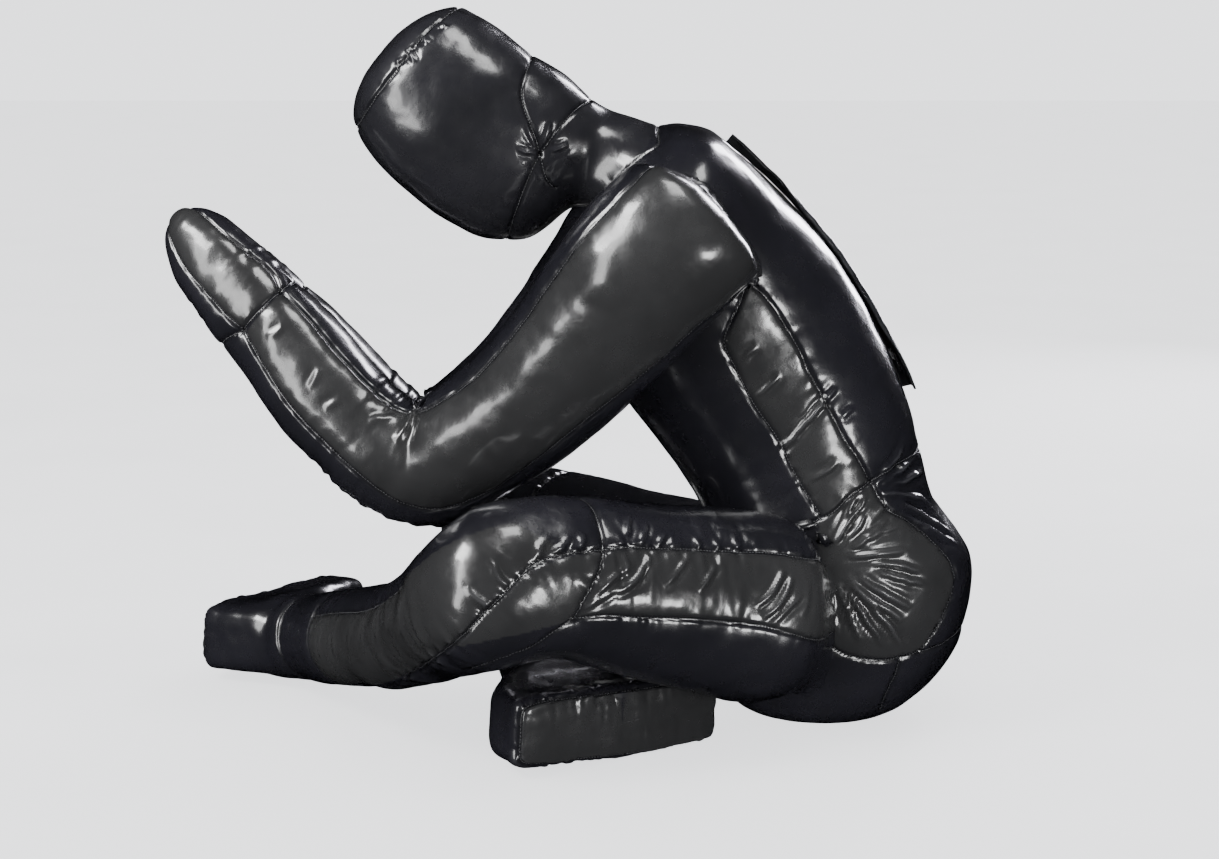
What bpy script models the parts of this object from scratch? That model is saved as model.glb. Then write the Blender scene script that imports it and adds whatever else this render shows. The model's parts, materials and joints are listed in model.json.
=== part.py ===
"""Grappling dummy: a full-size stuffed figure that sits cross-legged and leans forward on its elbows.

Frame: +X is the dummy's own left, -Y is the way it faces, +Z is up, and the seat rests on z = 0.
Each limb segment is a stuffing core inside a sewn sleeve. The core ends in a ball on the next joint,
and the next segment starts clear of that ball, so every joint can bend. All sizes are in metres.
"""
import math

import bmesh
import bpy
from mathutils import Matrix, Vector

# Cloth and clearances
GAP = 0.0006
COVER = 0.0026

# Sides of a turned piece, and how square the oval sections are (1 is a true oval, less is squarer)
SIDES = 16
SQUARENESS = 0.88

# The back is one circular arc about a line along X, and the zip runs on it
BACK_CENTRE = Vector((0.0, -0.208, 0.1655))
BACK_RADIUS = 0.623

# Joints of the trunk
WAIST = Vector((0.0, 0.278, 0.268))
NECK = Vector((0.0, 0.074, 0.623))
HEAD_AXIS = Vector((0.0, -0.907, 0.421)).normalized()

# Joints of the limbs, left and right
SHOULDERS = {"left": Vector((0.197, 0.118, 0.587)), "right": Vector((-0.197, 0.108, 0.574))}
ELBOWS = {"left": Vector((0.115, -0.164, 0.314)), "right": Vector((-0.110, -0.172, 0.285))}
WRISTS = {"left": Vector((0.072, -0.356, 0.470)), "right": Vector((-0.066, -0.364, 0.452))}
HAND_TIPS = {"left": Vector((0.048, -0.437, 0.583)), "right": Vector((-0.044, -0.4402, 0.567))}
HIPS = {"left": Vector((0.112, 0.270, 0.143)), "right": Vector((-0.112, 0.270, 0.128))}
KNEES = {"left": Vector((0.287, -0.092, 0.236)), "right": Vector((-0.2865, -0.118, 0.170))}
ANKLES = {"left": Vector((-0.100, -0.330, 0.046)), "right": Vector((0.150, -0.078, 0.044))}

# Feet lie on their sides: the way the toes point and the way the sole faces
TOE_WAYS = {"left": Vector((-0.87, 0.50, 0.0)), "right": Vector((-0.63, 0.775, 0.0))}
SOLE_WAYS = {"left": Vector((-0.50, -0.87, 0.0)), "right": Vector((0.775, 0.63, 0.0))}
FOOT_LENGTH = 0.262
FOOT_HEEL = 0.052
FOOT_WIDTH = 0.080
FOOT_TOE_WIDTH = 0.072
SOLE_DEPTH = 0.112

# Radii of the limbs: (start of segment, middle, end of segment, joint ball)
UPPER_ARM = (0.074, 0.076, 0.066, 0.068)
FOREARM = (0.059, 0.059, 0.046, 0.042)
THIGH = (0.084, 0.078, 0.070, 0.075)
SHIN = (0.064, 0.060, 0.046, 0.043)
HAND = (0.038, 0.041, 0.032)

# How far from its joint each segment starts, so that it clears the segment before it
FOREARM_START = 0.086
SHIN_STARTS = {"left": 0.094, "right": 0.128}
HAND_START = 0.045
FOOT_START = 0.047
NECK_BALL = 0.052
HEAD_START = 0.056

# How far a sleeve's ends stay from the two joints of its segment
UPPER_ARM_SLEEVE = (0.070, 0.068)
FOREARM_SLEEVE_END = 0.040
THIGH_SLEEVE = (0.110, 0.074)
SHIN_SLEEVE_END = 0.046

# Waist barrel that the torso rocks on, and the room left round it and round the thighs
BARREL_RADIUS = 0.062
BARREL_HALF_LENGTH = 0.052
BARREL_SIDES = 20
BARREL_ROOM = 0.003
BARREL_END_ROOM = 0.002
HIP_ROOM = 0.0035
HIP_SWING_ROOM = 0.070
HIP_CUT_REACH = 0.30

# Degrees trimmed from each side of a sewn panel, for the seam
TRUNK_SEAM_DEG = 0.6
HEAD_SEAM_DEG = 0.7
HAND_SEAM_DEG = 1.2

# Part of a section's spacing left open at the neck seam and the crown seam
NECK_SEAM = 0.02
CROWN_SEAM = 0.03

# Foot block: corner radius of its outline, and how far the edges of the stuffing are drawn in
FOOT_CORNER = 0.020
FOOT_EDGE = 0.010

# Zip on the back arc: degrees round the arc, and cross sizes
ZIP_LOW = 21.0
ZIP_HIGH = 50.5
ZIP_STEPS = 10
SLIDER_AT = 24.0
FLAP_LOW = 20.0
FLAP_HIGH = 52.5
CHANNEL_HALF = 0.0078
TEETH_HALF = 0.0026
FLAP_HALF = 0.021
FLAP_LIFT = 0.0108
FLAP_THICK = 0.0022
TAPE_MARGIN = 0.0016
TAPE_SUNK = 0.0010
TEETH_PROUD = 0.0008

# Slider and pull: half width, lowest and highest place above the back
SLIDER_SIZE = (0.0048, 0.0014, 0.0046)
SLIDER_HALF_DEG = 0.6
PULL_SIZE = (0.0030, 0.0050, 0.0064)
PULL_DEG = 2.0

MODEL = "grappling_dummy"
CUTTERS = "grappling_dummy_cutters"


def clear_scene():
    for ob in list(bpy.data.objects):
        bpy.data.objects.remove(ob, do_unlink=True)


def new_collection(name):
    collection = bpy.data.collections.new(name)
    bpy.context.scene.collection.children.link(collection)
    return collection


def new_material(name, colour, roughness, metallic=0.0):
    material = bpy.data.materials.new(name)
    material.use_nodes = True
    shader = material.node_tree.nodes["Principled BSDF"]
    shader.inputs["Base Color"].default_value = (*colour, 1.0)
    shader.inputs["Roughness"].default_value = roughness
    shader.inputs["Metallic"].default_value = metallic
    return material


def finish_mesh(ob, name, colour, roughness, metallic=0.0, angle=40.0):
    """Gives a piece its own material and smooth shading, and returns it."""
    ob.data.materials.append(new_material(name + "_material", colour, roughness, metallic))
    ob.data.shade_smooth()
    ob.data.set_sharp_from_angle(angle=math.radians(angle))
    return ob


def object_from(name, bm, collection):
    mesh = bpy.data.meshes.new(name)
    bm.to_mesh(mesh)
    bm.free()
    ob = bpy.data.objects.new(name, mesh)
    collection.objects.link(ob)
    return ob


def vinyl(ob):
    return finish_mesh(ob, ob.name, (0.018, 0.018, 0.021), 0.24)


def stuffing(ob):
    return finish_mesh(ob, ob.name, (0.42, 0.40, 0.37), 0.92)


def arc_points(centre, radius, first_deg, last_deg, count):
    """(radius from the axis, place along it) on an arc; 0 degrees points straight out from the axis."""
    points = []
    for i in range(count + 1):
        angle = math.radians(first_deg + (last_deg - first_deg) * i / count)
        points.append((radius * math.cos(angle), centre + radius * math.sin(angle)))
    return points


def thicken(ob, thickness, offset):
    """Gives an open skin the thickness of cloth; an offset of 1 lays it outside and -1 inside."""
    shell = ob.modifiers.new("cloth", "SOLIDIFY")
    shell.thickness = thickness
    shell.offset = offset
    shell.use_even_offset = True


def aim(ob, start, end):
    """Puts the object's origin at start with its Z axis towards end."""
    ob.location = start
    ob.rotation_euler = (end - start).to_track_quat("Z", "X").to_euler()


def turned(name, start, end, profile, collection, hollow=0.0):
    """A turned piece along start to end. Its profile runs from the far end back to start.
    With hollow set, the profile is an open line and the piece is a sleeve of that thickness."""
    bm = bmesh.new()
    verts = [bm.verts.new((radius, 0.0, along)) for radius, along in profile]
    for first, second in zip(verts, verts[1:]):
        bm.edges.new((first, second))
    ob = object_from(name, bm, collection)
    screw = ob.modifiers.new("turn", "SCREW")
    screw.steps = SIDES
    screw.render_steps = SIDES
    screw.use_merge_vertices = True
    screw.merge_threshold = 0.00001
    if hollow:
        thicken(ob, hollow, 1.0)
    aim(ob, start, end)
    return ob


def shaft_points(length, first, last, radii, inset=0.0, count=3):
    """Points along a limb's side, from last back to first, with the middle radius halfway."""
    points = []
    for i in range(count + 1):
        along = last + (first - last) * i / count
        part = along / length
        if part < 0.5:
            radius = radii[0] + (radii[1] - radii[0]) * part * 2.0
        else:
            radius = radii[1] + (radii[2] - radii[1]) * (part - 0.5) * 2.0
        points.append((radius - inset, along))
    return points


def ball_ended_core(name, start, end, radii, collection):
    """Core with a ball on its own joint and a ball on the next one."""
    length = (end - start).length
    inset = COVER + GAP
    first_radius, last_radius = radii[0], radii[3]
    profile = arc_points(length, last_radius, 90.0, -62.0, 6)
    profile += shaft_points(length, first_radius * 1.02, length - last_radius * 1.02, radii, inset)
    profile += arc_points(0.0, first_radius, 60.0, -90.0, 6)
    profile[0] = (0.0, profile[0][1])
    profile[-1] = (0.0, profile[-1][1])
    return stuffing(turned(name, start, end, profile, collection))


def flat_started_core(name, start, end, begin, radii, collection):
    """Core that starts flat, clear of the joint's ball, and ends in a ball on the next joint."""
    length = (end - start).length
    inset = COVER + GAP
    last_radius = radii[3]
    profile = arc_points(length, last_radius, 90.0, -60.0, 6)
    profile += shaft_points(length, begin, length - last_radius * 1.02, radii, inset)
    profile.append((0.0, begin))
    profile[0] = (0.0, profile[0][1])
    return stuffing(turned(name, start, end, profile, collection))


def sleeve(name, start, end, first, last, radii, collection):
    """Sewn sleeve round a limb's shaft, open at both ends."""
    length = (end - start).length
    profile = shaft_points(length, first, last, radii, COVER)
    return vinyl(turned(name, start, end, profile, collection, hollow=COVER))


def split_quads(bm):
    """Splits every quad the same way, so that cloth and the stuffing under it stay parallel."""
    quads = [face for face in bm.faces if len(face.verts) == 4]
    bmesh.ops.triangulate(bm, faces=quads, quad_method="FIXED")


def loft(name, rings, collection, closed=True, low_cap=True, high_cap=True):
    """Skin over rings of points. closed joins each ring's ends; the caps close the first and last ring."""
    bm = bmesh.new()
    grid = [[bm.verts.new(point) for point in ring] for ring in rings]
    count = len(rings[0])
    wrap = count if closed else count - 1
    for low, high in zip(grid, grid[1:]):
        for i in range(wrap):
            j = (i + 1) % count
            bm.faces.new((low[i], low[j], high[j], high[i]))
    if closed and low_cap:
        bm.faces.new(list(reversed(grid[0])))
    if closed and high_cap:
        bm.faces.new(grid[-1])
    split_quads(bm)
    return object_from(name, bm, collection)


def cloth_patch(name, rings, collection):
    """Sewn panel: an open skin over the rings, with the thickness of the cover outside it."""
    ob = loft(name, rings, collection, closed=False)
    thicken(ob, COVER, 1.0)
    return vinyl(ob)


def oval_point(centre, across, deep, half_across, half_deep, degrees):
    """A point on a slightly squared oval; 0 degrees lies along across and 90 along deep."""
    cosine = math.cos(math.radians(degrees))
    sine = math.sin(math.radians(degrees))
    along = math.copysign(abs(cosine) ** SQUARENESS, cosine) * half_across
    into = math.copysign(abs(sine) ** SQUARENESS, sine) * half_deep
    return centre + across * along + deep * into


# Directions round the trunk. The back has a channel for the zip in place of a point at 90 degrees.
TRUNK_ANGLES = [0, 15, 35, 55, 75, 87, 93, 105, 125, 145, 165]
TRUNK_ANGLES += [180, 195, 215, 235, 255, 270, 285, 305, 325, 345]
SIDE_X = Vector((1.0, 0.0, 0.0))


def around_back(degrees, radius):
    """Point on the mid plane at an angle and a radius about the centre of the back's arc."""
    angle = math.radians(degrees)
    return BACK_CENTRE + Vector((0.0, math.cos(angle), math.sin(angle))) * radius


def trunk_ring(station, inset, angles):
    """One section of the torso; 90 degrees is its back and 270 its front."""
    degrees, front, back, half_width = station
    centre = around_back(degrees, (front + back) / 2)
    deep = (centre - BACK_CENTRE).normalized()
    half_deep = (back - front) / 2 - inset
    return [oval_point(centre, SIDE_X, deep, half_width - inset, half_deep, a) for a in angles]


TORSO_STATIONS = [
    # (degrees round the back arc, front radius, back radius, half width)
    (14.2, 0.366, BACK_RADIUS, 0.150),
    (22.0, 0.352, BACK_RADIUS, 0.146),
    (31.0, 0.338, BACK_RADIUS, 0.134),
    (39.0, 0.336, BACK_RADIUS, 0.120),
    (45.0, 0.362, BACK_RADIUS, 0.110),
    (49.0, 0.398, BACK_RADIUS, 0.098),
    (52.2, 0.436, BACK_RADIUS - 0.003, 0.082),
]


def angle_run(first, last):
    """The trunk directions from first to last, going round through 360 when last is the smaller."""
    turned_angles = [a if a >= first else a + 360 for a in TRUNK_ANGLES]
    end = last if last > first else last + 360
    return sorted(a for a in turned_angles if first <= a <= end)


def spaced(angles, trim):
    """The same directions with the two outer ones drawn in, which leaves room for the seam."""
    return [angles[0] + trim] + angles[1:-1] + [angles[-1] - trim]


def cut(ob, cutters):
    for cutter in cutters:
        boolean = ob.modifiers.new("cut", "BOOLEAN")
        boolean.operation = "DIFFERENCE"
        boolean.solver = "EXACT"
        boolean.object = cutter


def as_cutter(ob):
    ob.hide_render = True
    ob.display_type = "WIRE"
    return ob


def make_torso(parts, cutters):
    core_rings = [trunk_ring(s, COVER + GAP, TRUNK_ANGLES) for s in TORSO_STATIONS]
    core = loft("torso_fill", core_rings, parts)
    cut(core, [cutters["barrel"]])
    stuffing(core)
    panels = {
        "left_side_panel": (345, 15),
        "right_side_panel": (165, 195),
        "front_panel": (195, 345),
        "back_left_panel": (15, 87),
        "back_right_panel": (93, 165),
    }
    for name, (first, last) in panels.items():
        angles = spaced(angle_run(first, last), TRUNK_SEAM_DEG)
        cloth_patch(name, [trunk_ring(s, COVER, angles) for s in TORSO_STATIONS], parts)


def barrel(name, radius, half_length, collection):
    """Cylinder across the waist, with its axis on the waist joint."""
    bm = bmesh.new()
    size = {"radius1": radius, "radius2": radius, "depth": 2 * half_length}
    bmesh.ops.create_cone(bm, cap_ends=True, segments=BARREL_SIDES, **size)
    ob = object_from(name, bm, collection)
    ob.location = WAIST
    ob.rotation_euler = (0.0, math.radians(90.0), 0.0)
    return ob


def make_waist(parts):
    """Stuffing barrel across the waist, which rides with the pelvis."""
    return stuffing(barrel("waist_fill", BARREL_RADIUS, BARREL_HALF_LENGTH, parts))


PELVIS_STATIONS = [
    # (height of centre, place front to back, half width, half depth)
    (0.0000, 0.290, 0.080, 0.066),
    (0.0120, 0.294, 0.108, 0.098),
    (0.0500, 0.302, 0.146, 0.138),
    (0.1150, 0.306, 0.164, 0.1518),
    (0.1750, 0.304, 0.162, 0.1505),
]
PELVIS_TOP = (9.6, 0.372, BACK_RADIUS + 0.002, 0.152)
PELVIS_CURVE = 0.1


def pelvis_ring(station, inset, angles):
    """One level section of the pelvis. Below PELVIS_CURVE an inset also lifts it, clear of the cover."""
    height, place, half_width, half_depth = station
    lift = inset * max(0.0, 1.0 - height / PELVIS_CURVE)
    centre = Vector((0.0, place, height + lift))
    deep = Vector((0.0, 1.0, 0.0))
    return [oval_point(centre, SIDE_X, deep, half_width - inset, half_depth - inset, a) for a in angles]


def pelvis_rings(inset):
    rings = [pelvis_ring(s, inset, TRUNK_ANGLES) for s in PELVIS_STATIONS]
    return rings + [trunk_ring(PELVIS_TOP, inset, TRUNK_ANGLES)]


def make_pelvis(parts, cutters):
    """Pelvis stuffing, and the seat cover: flat underneath, and open where the thighs come out."""
    cuts = [cutters["barrel"], cutters["left_hip"], cutters["right_hip"]]
    core = loft("pelvis_fill", pelvis_rings(COVER * 2), parts)
    cut(core, cuts)
    stuffing(core)
    seat = loft("seat_cover", pelvis_rings(0.0), parts, high_cap=False)
    thicken(seat, COVER, -1.0)
    cut(seat, cuts)
    vinyl(seat)


HEAD_STATIONS = [
    # (place along the head's axis, middle, half height, half width)
    (HEAD_START, -0.004, 0.057, 0.053),
    (0.085, -0.026, 0.084, 0.064),
    (0.120, -0.033, 0.097, 0.077),
    (0.170, -0.031, 0.104, 0.084),
    (0.220, -0.023, 0.104, 0.085),
    (0.262, -0.012, 0.098, 0.081),
    (0.290, -0.010, 0.084, 0.070),
    (0.309, -0.012, 0.060, 0.051),
    (0.318, -0.012, 0.030, 0.026),
]
HEAD_ANGLES = [0, 20, 45, 68, 90, 112, 135, 160, 180, 200, 225, 248, 270, 292, 315, 340]
HEAD_UP = HEAD_AXIS.cross(SIDE_X).normalized()


def head_ring(station, inset, angles):
    """One section of the head; 90 degrees is its top and back, 270 is the face and jaw."""
    along, middle, half_height, half_width = station
    centre = NECK + HEAD_AXIS * along + HEAD_UP * middle
    return [oval_point(centre, SIDE_X, HEAD_UP, half_width - inset, half_height - inset, a) for a in angles]


def head_patch(name, stations, first, last, parts):
    angles = [a for a in HEAD_ANGLES + [a + 360 for a in HEAD_ANGLES] if first <= a <= last]
    return cloth_patch(name, [head_ring(s, COVER, spaced(angles, HEAD_SEAM_DEG)) for s in stations], parts)


def make_head(parts):
    end_place, *end_section = HEAD_STATIONS[-1]
    core_stations = HEAD_STATIONS[:-1] + [(end_place - COVER - GAP, *end_section)]
    rings = [head_ring(s, COVER + GAP, HEAD_ANGLES) for s in core_stations]
    stuffing(loft("head_fill", rings, parts))
    neck = [HEAD_STATIONS[0], between(HEAD_STATIONS[1], HEAD_STATIONS[0], NECK_SEAM)]
    skull = [between(HEAD_STATIONS[1], HEAD_STATIONS[2], NECK_SEAM)] + HEAD_STATIONS[2:6]
    head_patch("neck_cover", neck, 90, 450, parts)
    head_patch("face_cover", skull, 225, 315, parts)
    head_patch("head_left_cover", skull, 315, 450, parts)
    head_patch("head_right_cover", skull, 90, 225, parts)
    make_crown(parts)


def between(first, second, part):
    """The section a part of the way from first to second, which leaves room for a seam."""
    return tuple(a + (b - a) * part for a, b in zip(first, second))


def make_crown(parts):
    """Cap over the crown: a cup of cloth, open towards the neck."""
    stations = [between(HEAD_STATIONS[5], HEAD_STATIONS[6], CROWN_SEAM)] + HEAD_STATIONS[6:]
    rings = [head_ring(s, COVER, HEAD_ANGLES) for s in stations]
    crown = loft("crown_cover", rings, parts, low_cap=False)
    thicken(crown, COVER, 1.0)
    return vinyl(crown)


def make_neck(parts):
    """Stuffing ball of the neck, which rides with the torso."""
    profile = arc_points(0.0, NECK_BALL, 90.0, -90.0, 10)
    profile[0] = (0.0, NECK_BALL)
    profile[-1] = (0.0, -NECK_BALL)
    return stuffing(turned("neck_fill", NECK, NECK + HEAD_AXIS, profile, parts))


def make_arm(side, parts):
    shoulder, elbow, wrist, tip = SHOULDERS[side], ELBOWS[side], WRISTS[side], HAND_TIPS[side]
    upper = (elbow - shoulder).length
    fore = (wrist - elbow).length
    ball_ended_core(side + "_upper_arm_fill", shoulder, elbow, UPPER_ARM, parts)
    begin, short = UPPER_ARM_SLEEVE
    sleeve(side + "_upper_arm_cover", shoulder, elbow, begin, upper - short, UPPER_ARM, parts)
    flat_started_core(side + "_forearm_fill", elbow, wrist, FOREARM_START, FOREARM, parts)
    sleeve(side + "_forearm_cover", elbow, wrist, FOREARM_START, fore - FOREARM_SLEEVE_END, FOREARM, parts)
    make_hand(side, wrist, tip, parts)


def make_hand(side, wrist, tip, parts):
    """Closed mitten: stuffing with a palm panel and a back panel over it."""
    axis = (tip - wrist).normalized()
    length = (tip - wrist).length
    across = axis.cross(SIDE_X).normalized()
    thick = axis.cross(across).normalized()
    start, middle, end = HAND
    stations = [
        # (place from the wrist, half across, half thick)
        (HAND_START, start, start * 0.85),
        (0.075, middle, middle * 0.78),
        (0.110, middle * 0.97, middle * 0.76),
        (length - 0.016, end * 0.85, end * 0.72),
        (length - 0.0035, end * 0.42, end * 0.38),
    ]
    sides = SIDES - 2
    angles = [i * 360 / sides for i in range(sides)]

    def ring(station, inset, directions):
        along, half_across, half_thick = station
        centre = wrist + axis * along
        half_across -= inset
        half_thick -= inset
        return [oval_point(centre, across, thick, half_across, half_thick, a) for a in directions]

    stuffing(loft(side + "_hand_fill", [ring(s, COVER + GAP, angles) for s in stations], parts))
    half = sides // 2
    first_run = spaced(angles[: half + 1], HAND_SEAM_DEG)
    second_run = spaced(angles[half:] + [360.0], HAND_SEAM_DEG)
    first_name, second_name = ("back", "palm") if side == "left" else ("palm", "back")
    for name, run in ((first_name, first_run), (second_name, second_run)):
        cloth_patch(side + "_hand_" + name, [ring(s, COVER, run) for s in stations[:-1]], parts)


def make_leg(side, parts):
    hip, knee, ankle = HIPS[side], KNEES[side], ANKLES[side]
    thigh = (knee - hip).length
    shin = (ankle - knee).length
    ball_ended_core(side + "_thigh_fill", hip, knee, THIGH, parts)
    begin, short = THIGH_SLEEVE
    sleeve(side + "_thigh_cover", hip, knee, begin, thigh - short, THIGH, parts)
    flat_started_core(side + "_shin_fill", knee, ankle, SHIN_STARTS[side], SHIN, parts)
    sleeve(side + "_shin_cover", knee, ankle, SHIN_STARTS[side], shin - SHIN_SLEEVE_END, SHIN, parts)
    make_foot(side, ankle, parts)


def foot_outline(inset):
    """Rounded outline of the foot block, seen from its sole, as (towards the toe, across) points."""
    heel_half = FOOT_WIDTH / 2 - inset
    toe_half = FOOT_TOE_WIDTH / 2 - inset
    heel = -FOOT_HEEL + inset
    toe = FOOT_LENGTH - FOOT_HEEL - inset
    corner = FOOT_CORNER
    points = []
    for start_deg, along, across in (
        (-90, toe - corner, -toe_half + corner),
        (0, toe - corner, toe_half - corner),
        (90, heel + corner, heel_half - corner),
        (180, heel + corner, -heel_half + corner),
    ):
        for i in range(4):
            angle = math.radians(start_deg + 30 * i)
            points.append((along + corner * math.cos(angle), across + corner * math.sin(angle)))
    return points


def make_foot(side, ankle, parts):
    """Foot block: stuffing, a sole, a boxing wall round it and an upper on the ankle side."""
    toe_way = TOE_WAYS[side].normalized()
    sole_way = SOLE_WAYS[side].normalized()
    across = sole_way.cross(toe_way)

    def ring(depth, inset):
        middle = ankle + sole_way * depth
        return [middle + toe_way * x + across * y for x, y in foot_outline(inset)]

    wall = COVER + GAP
    top = FOOT_START
    bottom = SOLE_DEPTH
    edge = FOOT_EDGE
    fill_rings = [
        ring(top + wall, wall + edge),
        ring(top + edge + wall, wall),
        ring(bottom - edge, wall),
        ring(bottom - wall, wall + edge * 0.4),
    ]
    stuffing(loft(side + "_foot_fill", fill_rings, parts))
    sole_rings = [ring(bottom - COVER, edge * 0.4), ring(bottom, edge * 0.5)]
    vinyl(loft(side + "_foot_sole", sole_rings, parts))
    box_depths = (top + edge + wall + GAP * 3, bottom - edge, bottom - wall)
    box_rings = [ring(depth, COVER) for depth in box_depths]
    boxing = loft(side + "_foot_boxing", box_rings, parts, low_cap=False, high_cap=False)
    thicken(boxing, COVER, 1.0)
    vinyl(boxing)
    upper_rings = [ring(top, edge + wall), ring(top + COVER, edge + wall)]
    vinyl(loft(side + "_foot_upper", upper_rings, parts))


def arc_strip(name, section, low, high, steps, parts):
    """Solid strip along the back arc. section lists (across, radius) counter-clockwise seen from above."""
    rings = []
    for i in range(steps + 1):
        degrees = low + (high - low) * i / steps
        rings.append([around_back(degrees, radius) + SIDE_X * across for across, radius in section])
    return loft(name, rings, parts)


def box_section(left, right, low, high):
    return [(left, low), (right, low), (right, high), (left, high)]


def make_zip(parts):
    """Zip sunk in the channel between the two back panels, with its slider, pull and cover flap."""
    floor = BACK_RADIUS - COVER
    surface = BACK_RADIUS
    edge = TEETH_HALF + GAP
    outer = CHANNEL_HALF - TAPE_MARGIN
    tape_top = surface - TAPE_SUNK
    left = box_section(edge, outer, floor, tape_top)
    right = box_section(-outer, -edge, floor, tape_top)
    teeth = box_section(-TEETH_HALF, TEETH_HALF, floor, surface + TEETH_PROUD)
    tape_colour = (0.012, 0.012, 0.014)
    for name, section in (("zip_tape_left", left), ("zip_tape_right", right)):
        strip = arc_strip(name, section, ZIP_LOW, ZIP_HIGH, ZIP_STEPS, parts)
        finish_mesh(strip, name, tape_colour, 0.85)
    strip = arc_strip("zip_teeth", teeth, ZIP_LOW, ZIP_HIGH, ZIP_STEPS, parts)
    finish_mesh(strip, "zip_teeth", (0.02, 0.02, 0.02), 0.45)
    make_slider(parts)
    make_flap(parts)


def metal_strip(name, size, low, high, parts):
    """Small metal piece on the back arc. size is its half width and its two heights above the back."""
    half_width, under, over = size
    section = box_section(-half_width, half_width, BACK_RADIUS + under, BACK_RADIUS + over)
    strip = arc_strip(name, section, low, high, 2, parts)
    return finish_mesh(strip, name, (0.30, 0.30, 0.31), 0.30, 1.0)


def make_slider(parts):
    metal_strip("zip_slider", SLIDER_SIZE, SLIDER_AT - SLIDER_HALF_DEG, SLIDER_AT + SLIDER_HALF_DEG, parts)
    metal_strip("zip_pull", PULL_SIZE, SLIDER_AT - PULL_DEG, SLIDER_AT, parts)


def make_flap(parts):
    """Flap sewn down along its right edge and standing clear over the zip."""
    low = BACK_RADIUS + GAP
    top = BACK_RADIUS + FLAP_LIFT
    under = top - FLAP_THICK
    web = -FLAP_HALF + FLAP_THICK
    sewn_edge = [(-FLAP_HALF, low), (web, low), (web, under)]
    free_edge = [(FLAP_HALF, under), (FLAP_HALF, top), (-FLAP_HALF, top)]
    section = sewn_edge + free_edge
    strip = arc_strip("zip_flap", section, FLAP_LOW, FLAP_HIGH, ZIP_STEPS, parts)
    vinyl(strip)


def make_cutters(collection):
    """Cutters for the waist barrel and for the thighs with their swing."""
    room_radius = BARREL_RADIUS + BARREL_ROOM
    room_half_length = BARREL_HALF_LENGTH + BARREL_END_ROOM
    cutters = {"barrel": as_cutter(barrel("barrel_cutter", room_radius, room_half_length, collection))}
    wide = THIGH[0] + HIP_ROOM
    for side in ("left", "right"):
        hip, knee = HIPS[side], KNEES[side]
        profile = [(0.0, HIP_CUT_REACH), (wide + HIP_SWING_ROOM, HIP_CUT_REACH)]
        profile += [(wide + 0.004, 0.02), (wide, 0.0)]
        profile += arc_points(0.0, wide, -15.0, -90.0, 5)
        profile[-1] = (0.0, profile[-1][1])
        ob = turned(side + "_hip_cutter", hip, hip + (knee - hip).normalized(), profile, collection)
        cutters[side + "_hip"] = as_cutter(ob)
    return cutters


def main():
    clear_scene()
    parts = new_collection(MODEL)
    cutter_collection = new_collection(CUTTERS)
    cutters = make_cutters(cutter_collection)
    make_pelvis(parts, cutters)
    make_waist(parts)
    make_torso(parts, cutters)
    make_neck(parts)
    make_head(parts)
    make_zip(parts)
    for side in ("left", "right"):
        make_arm(side, parts)
        make_leg(side, parts)


main()
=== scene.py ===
import json
import math

import bpy
import numpy as np
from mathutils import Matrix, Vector
from mathutils.bvhtree import BVHTree


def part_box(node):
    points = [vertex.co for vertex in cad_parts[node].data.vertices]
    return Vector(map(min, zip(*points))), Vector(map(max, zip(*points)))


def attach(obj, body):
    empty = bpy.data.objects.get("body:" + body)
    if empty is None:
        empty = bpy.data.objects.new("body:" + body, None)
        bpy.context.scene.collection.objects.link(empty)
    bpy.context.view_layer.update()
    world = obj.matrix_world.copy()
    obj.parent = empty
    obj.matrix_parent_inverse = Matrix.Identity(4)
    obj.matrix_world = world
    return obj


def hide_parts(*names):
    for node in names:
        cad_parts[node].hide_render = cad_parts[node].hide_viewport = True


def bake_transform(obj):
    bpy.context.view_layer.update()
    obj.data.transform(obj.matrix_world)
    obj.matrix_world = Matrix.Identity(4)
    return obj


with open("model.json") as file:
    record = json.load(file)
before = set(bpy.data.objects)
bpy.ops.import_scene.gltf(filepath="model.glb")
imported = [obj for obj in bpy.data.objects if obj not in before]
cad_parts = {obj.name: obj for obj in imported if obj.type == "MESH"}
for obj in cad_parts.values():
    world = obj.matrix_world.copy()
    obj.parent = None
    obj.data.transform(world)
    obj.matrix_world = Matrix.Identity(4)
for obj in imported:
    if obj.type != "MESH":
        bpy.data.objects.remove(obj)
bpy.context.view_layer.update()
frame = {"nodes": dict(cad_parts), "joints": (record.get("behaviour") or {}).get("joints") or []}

# The grappling dummy's sewn skins. Each skin is a grid of points: rows run along a limb and columns
# go round it. Seams, puckers and folds are worked out on the grid, and the grid is then cut into
# pieces, and the parts under them are hidden. Lengths are in metres and angles in degrees.
JOINTS = {joint["name"]: joint for joint in frame["joints"]}
X_AXIS = np.array([1.0, 0.0, 0.0])
Z_AXIS = np.array([0.0, 0.0, 1.0])

HANDS = {"left": 1.0, "right": -1.0}
FOOT_TILT = 0.06

# a skin's rows and its thinnest section; a seam's groove, the dip beside it and the width of the painted
# shade along it
ROW_STEP = 0.0021
THINNEST = 0.0004
GROOVE_WIDTH = 0.0019
DIP_REACH = 0.011
SHADE_WIDTH = 0.0042
# skin lower than FLOOR_PRESS is pressed flat, down to FLOOR_GAP
FLOOR_GAP = 0.0012
FLOOR_PRESS = 0.004
# distance given to points out of a line's reach
FAR = 9.0


# ------------ helpers

def unit(v):
    v = np.asarray(v, float)
    return v / np.linalg.norm(v, axis=-1, keepdims=True)


def place(name):
    return np.array(JOINTS[name]["pos_m"], float)


def of_side(side, words):
    """One side's names of joints, bodies or nodes, from words such as "hip knee"."""
    return tuple(f"{side}_{word}" for word in words.split())


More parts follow.
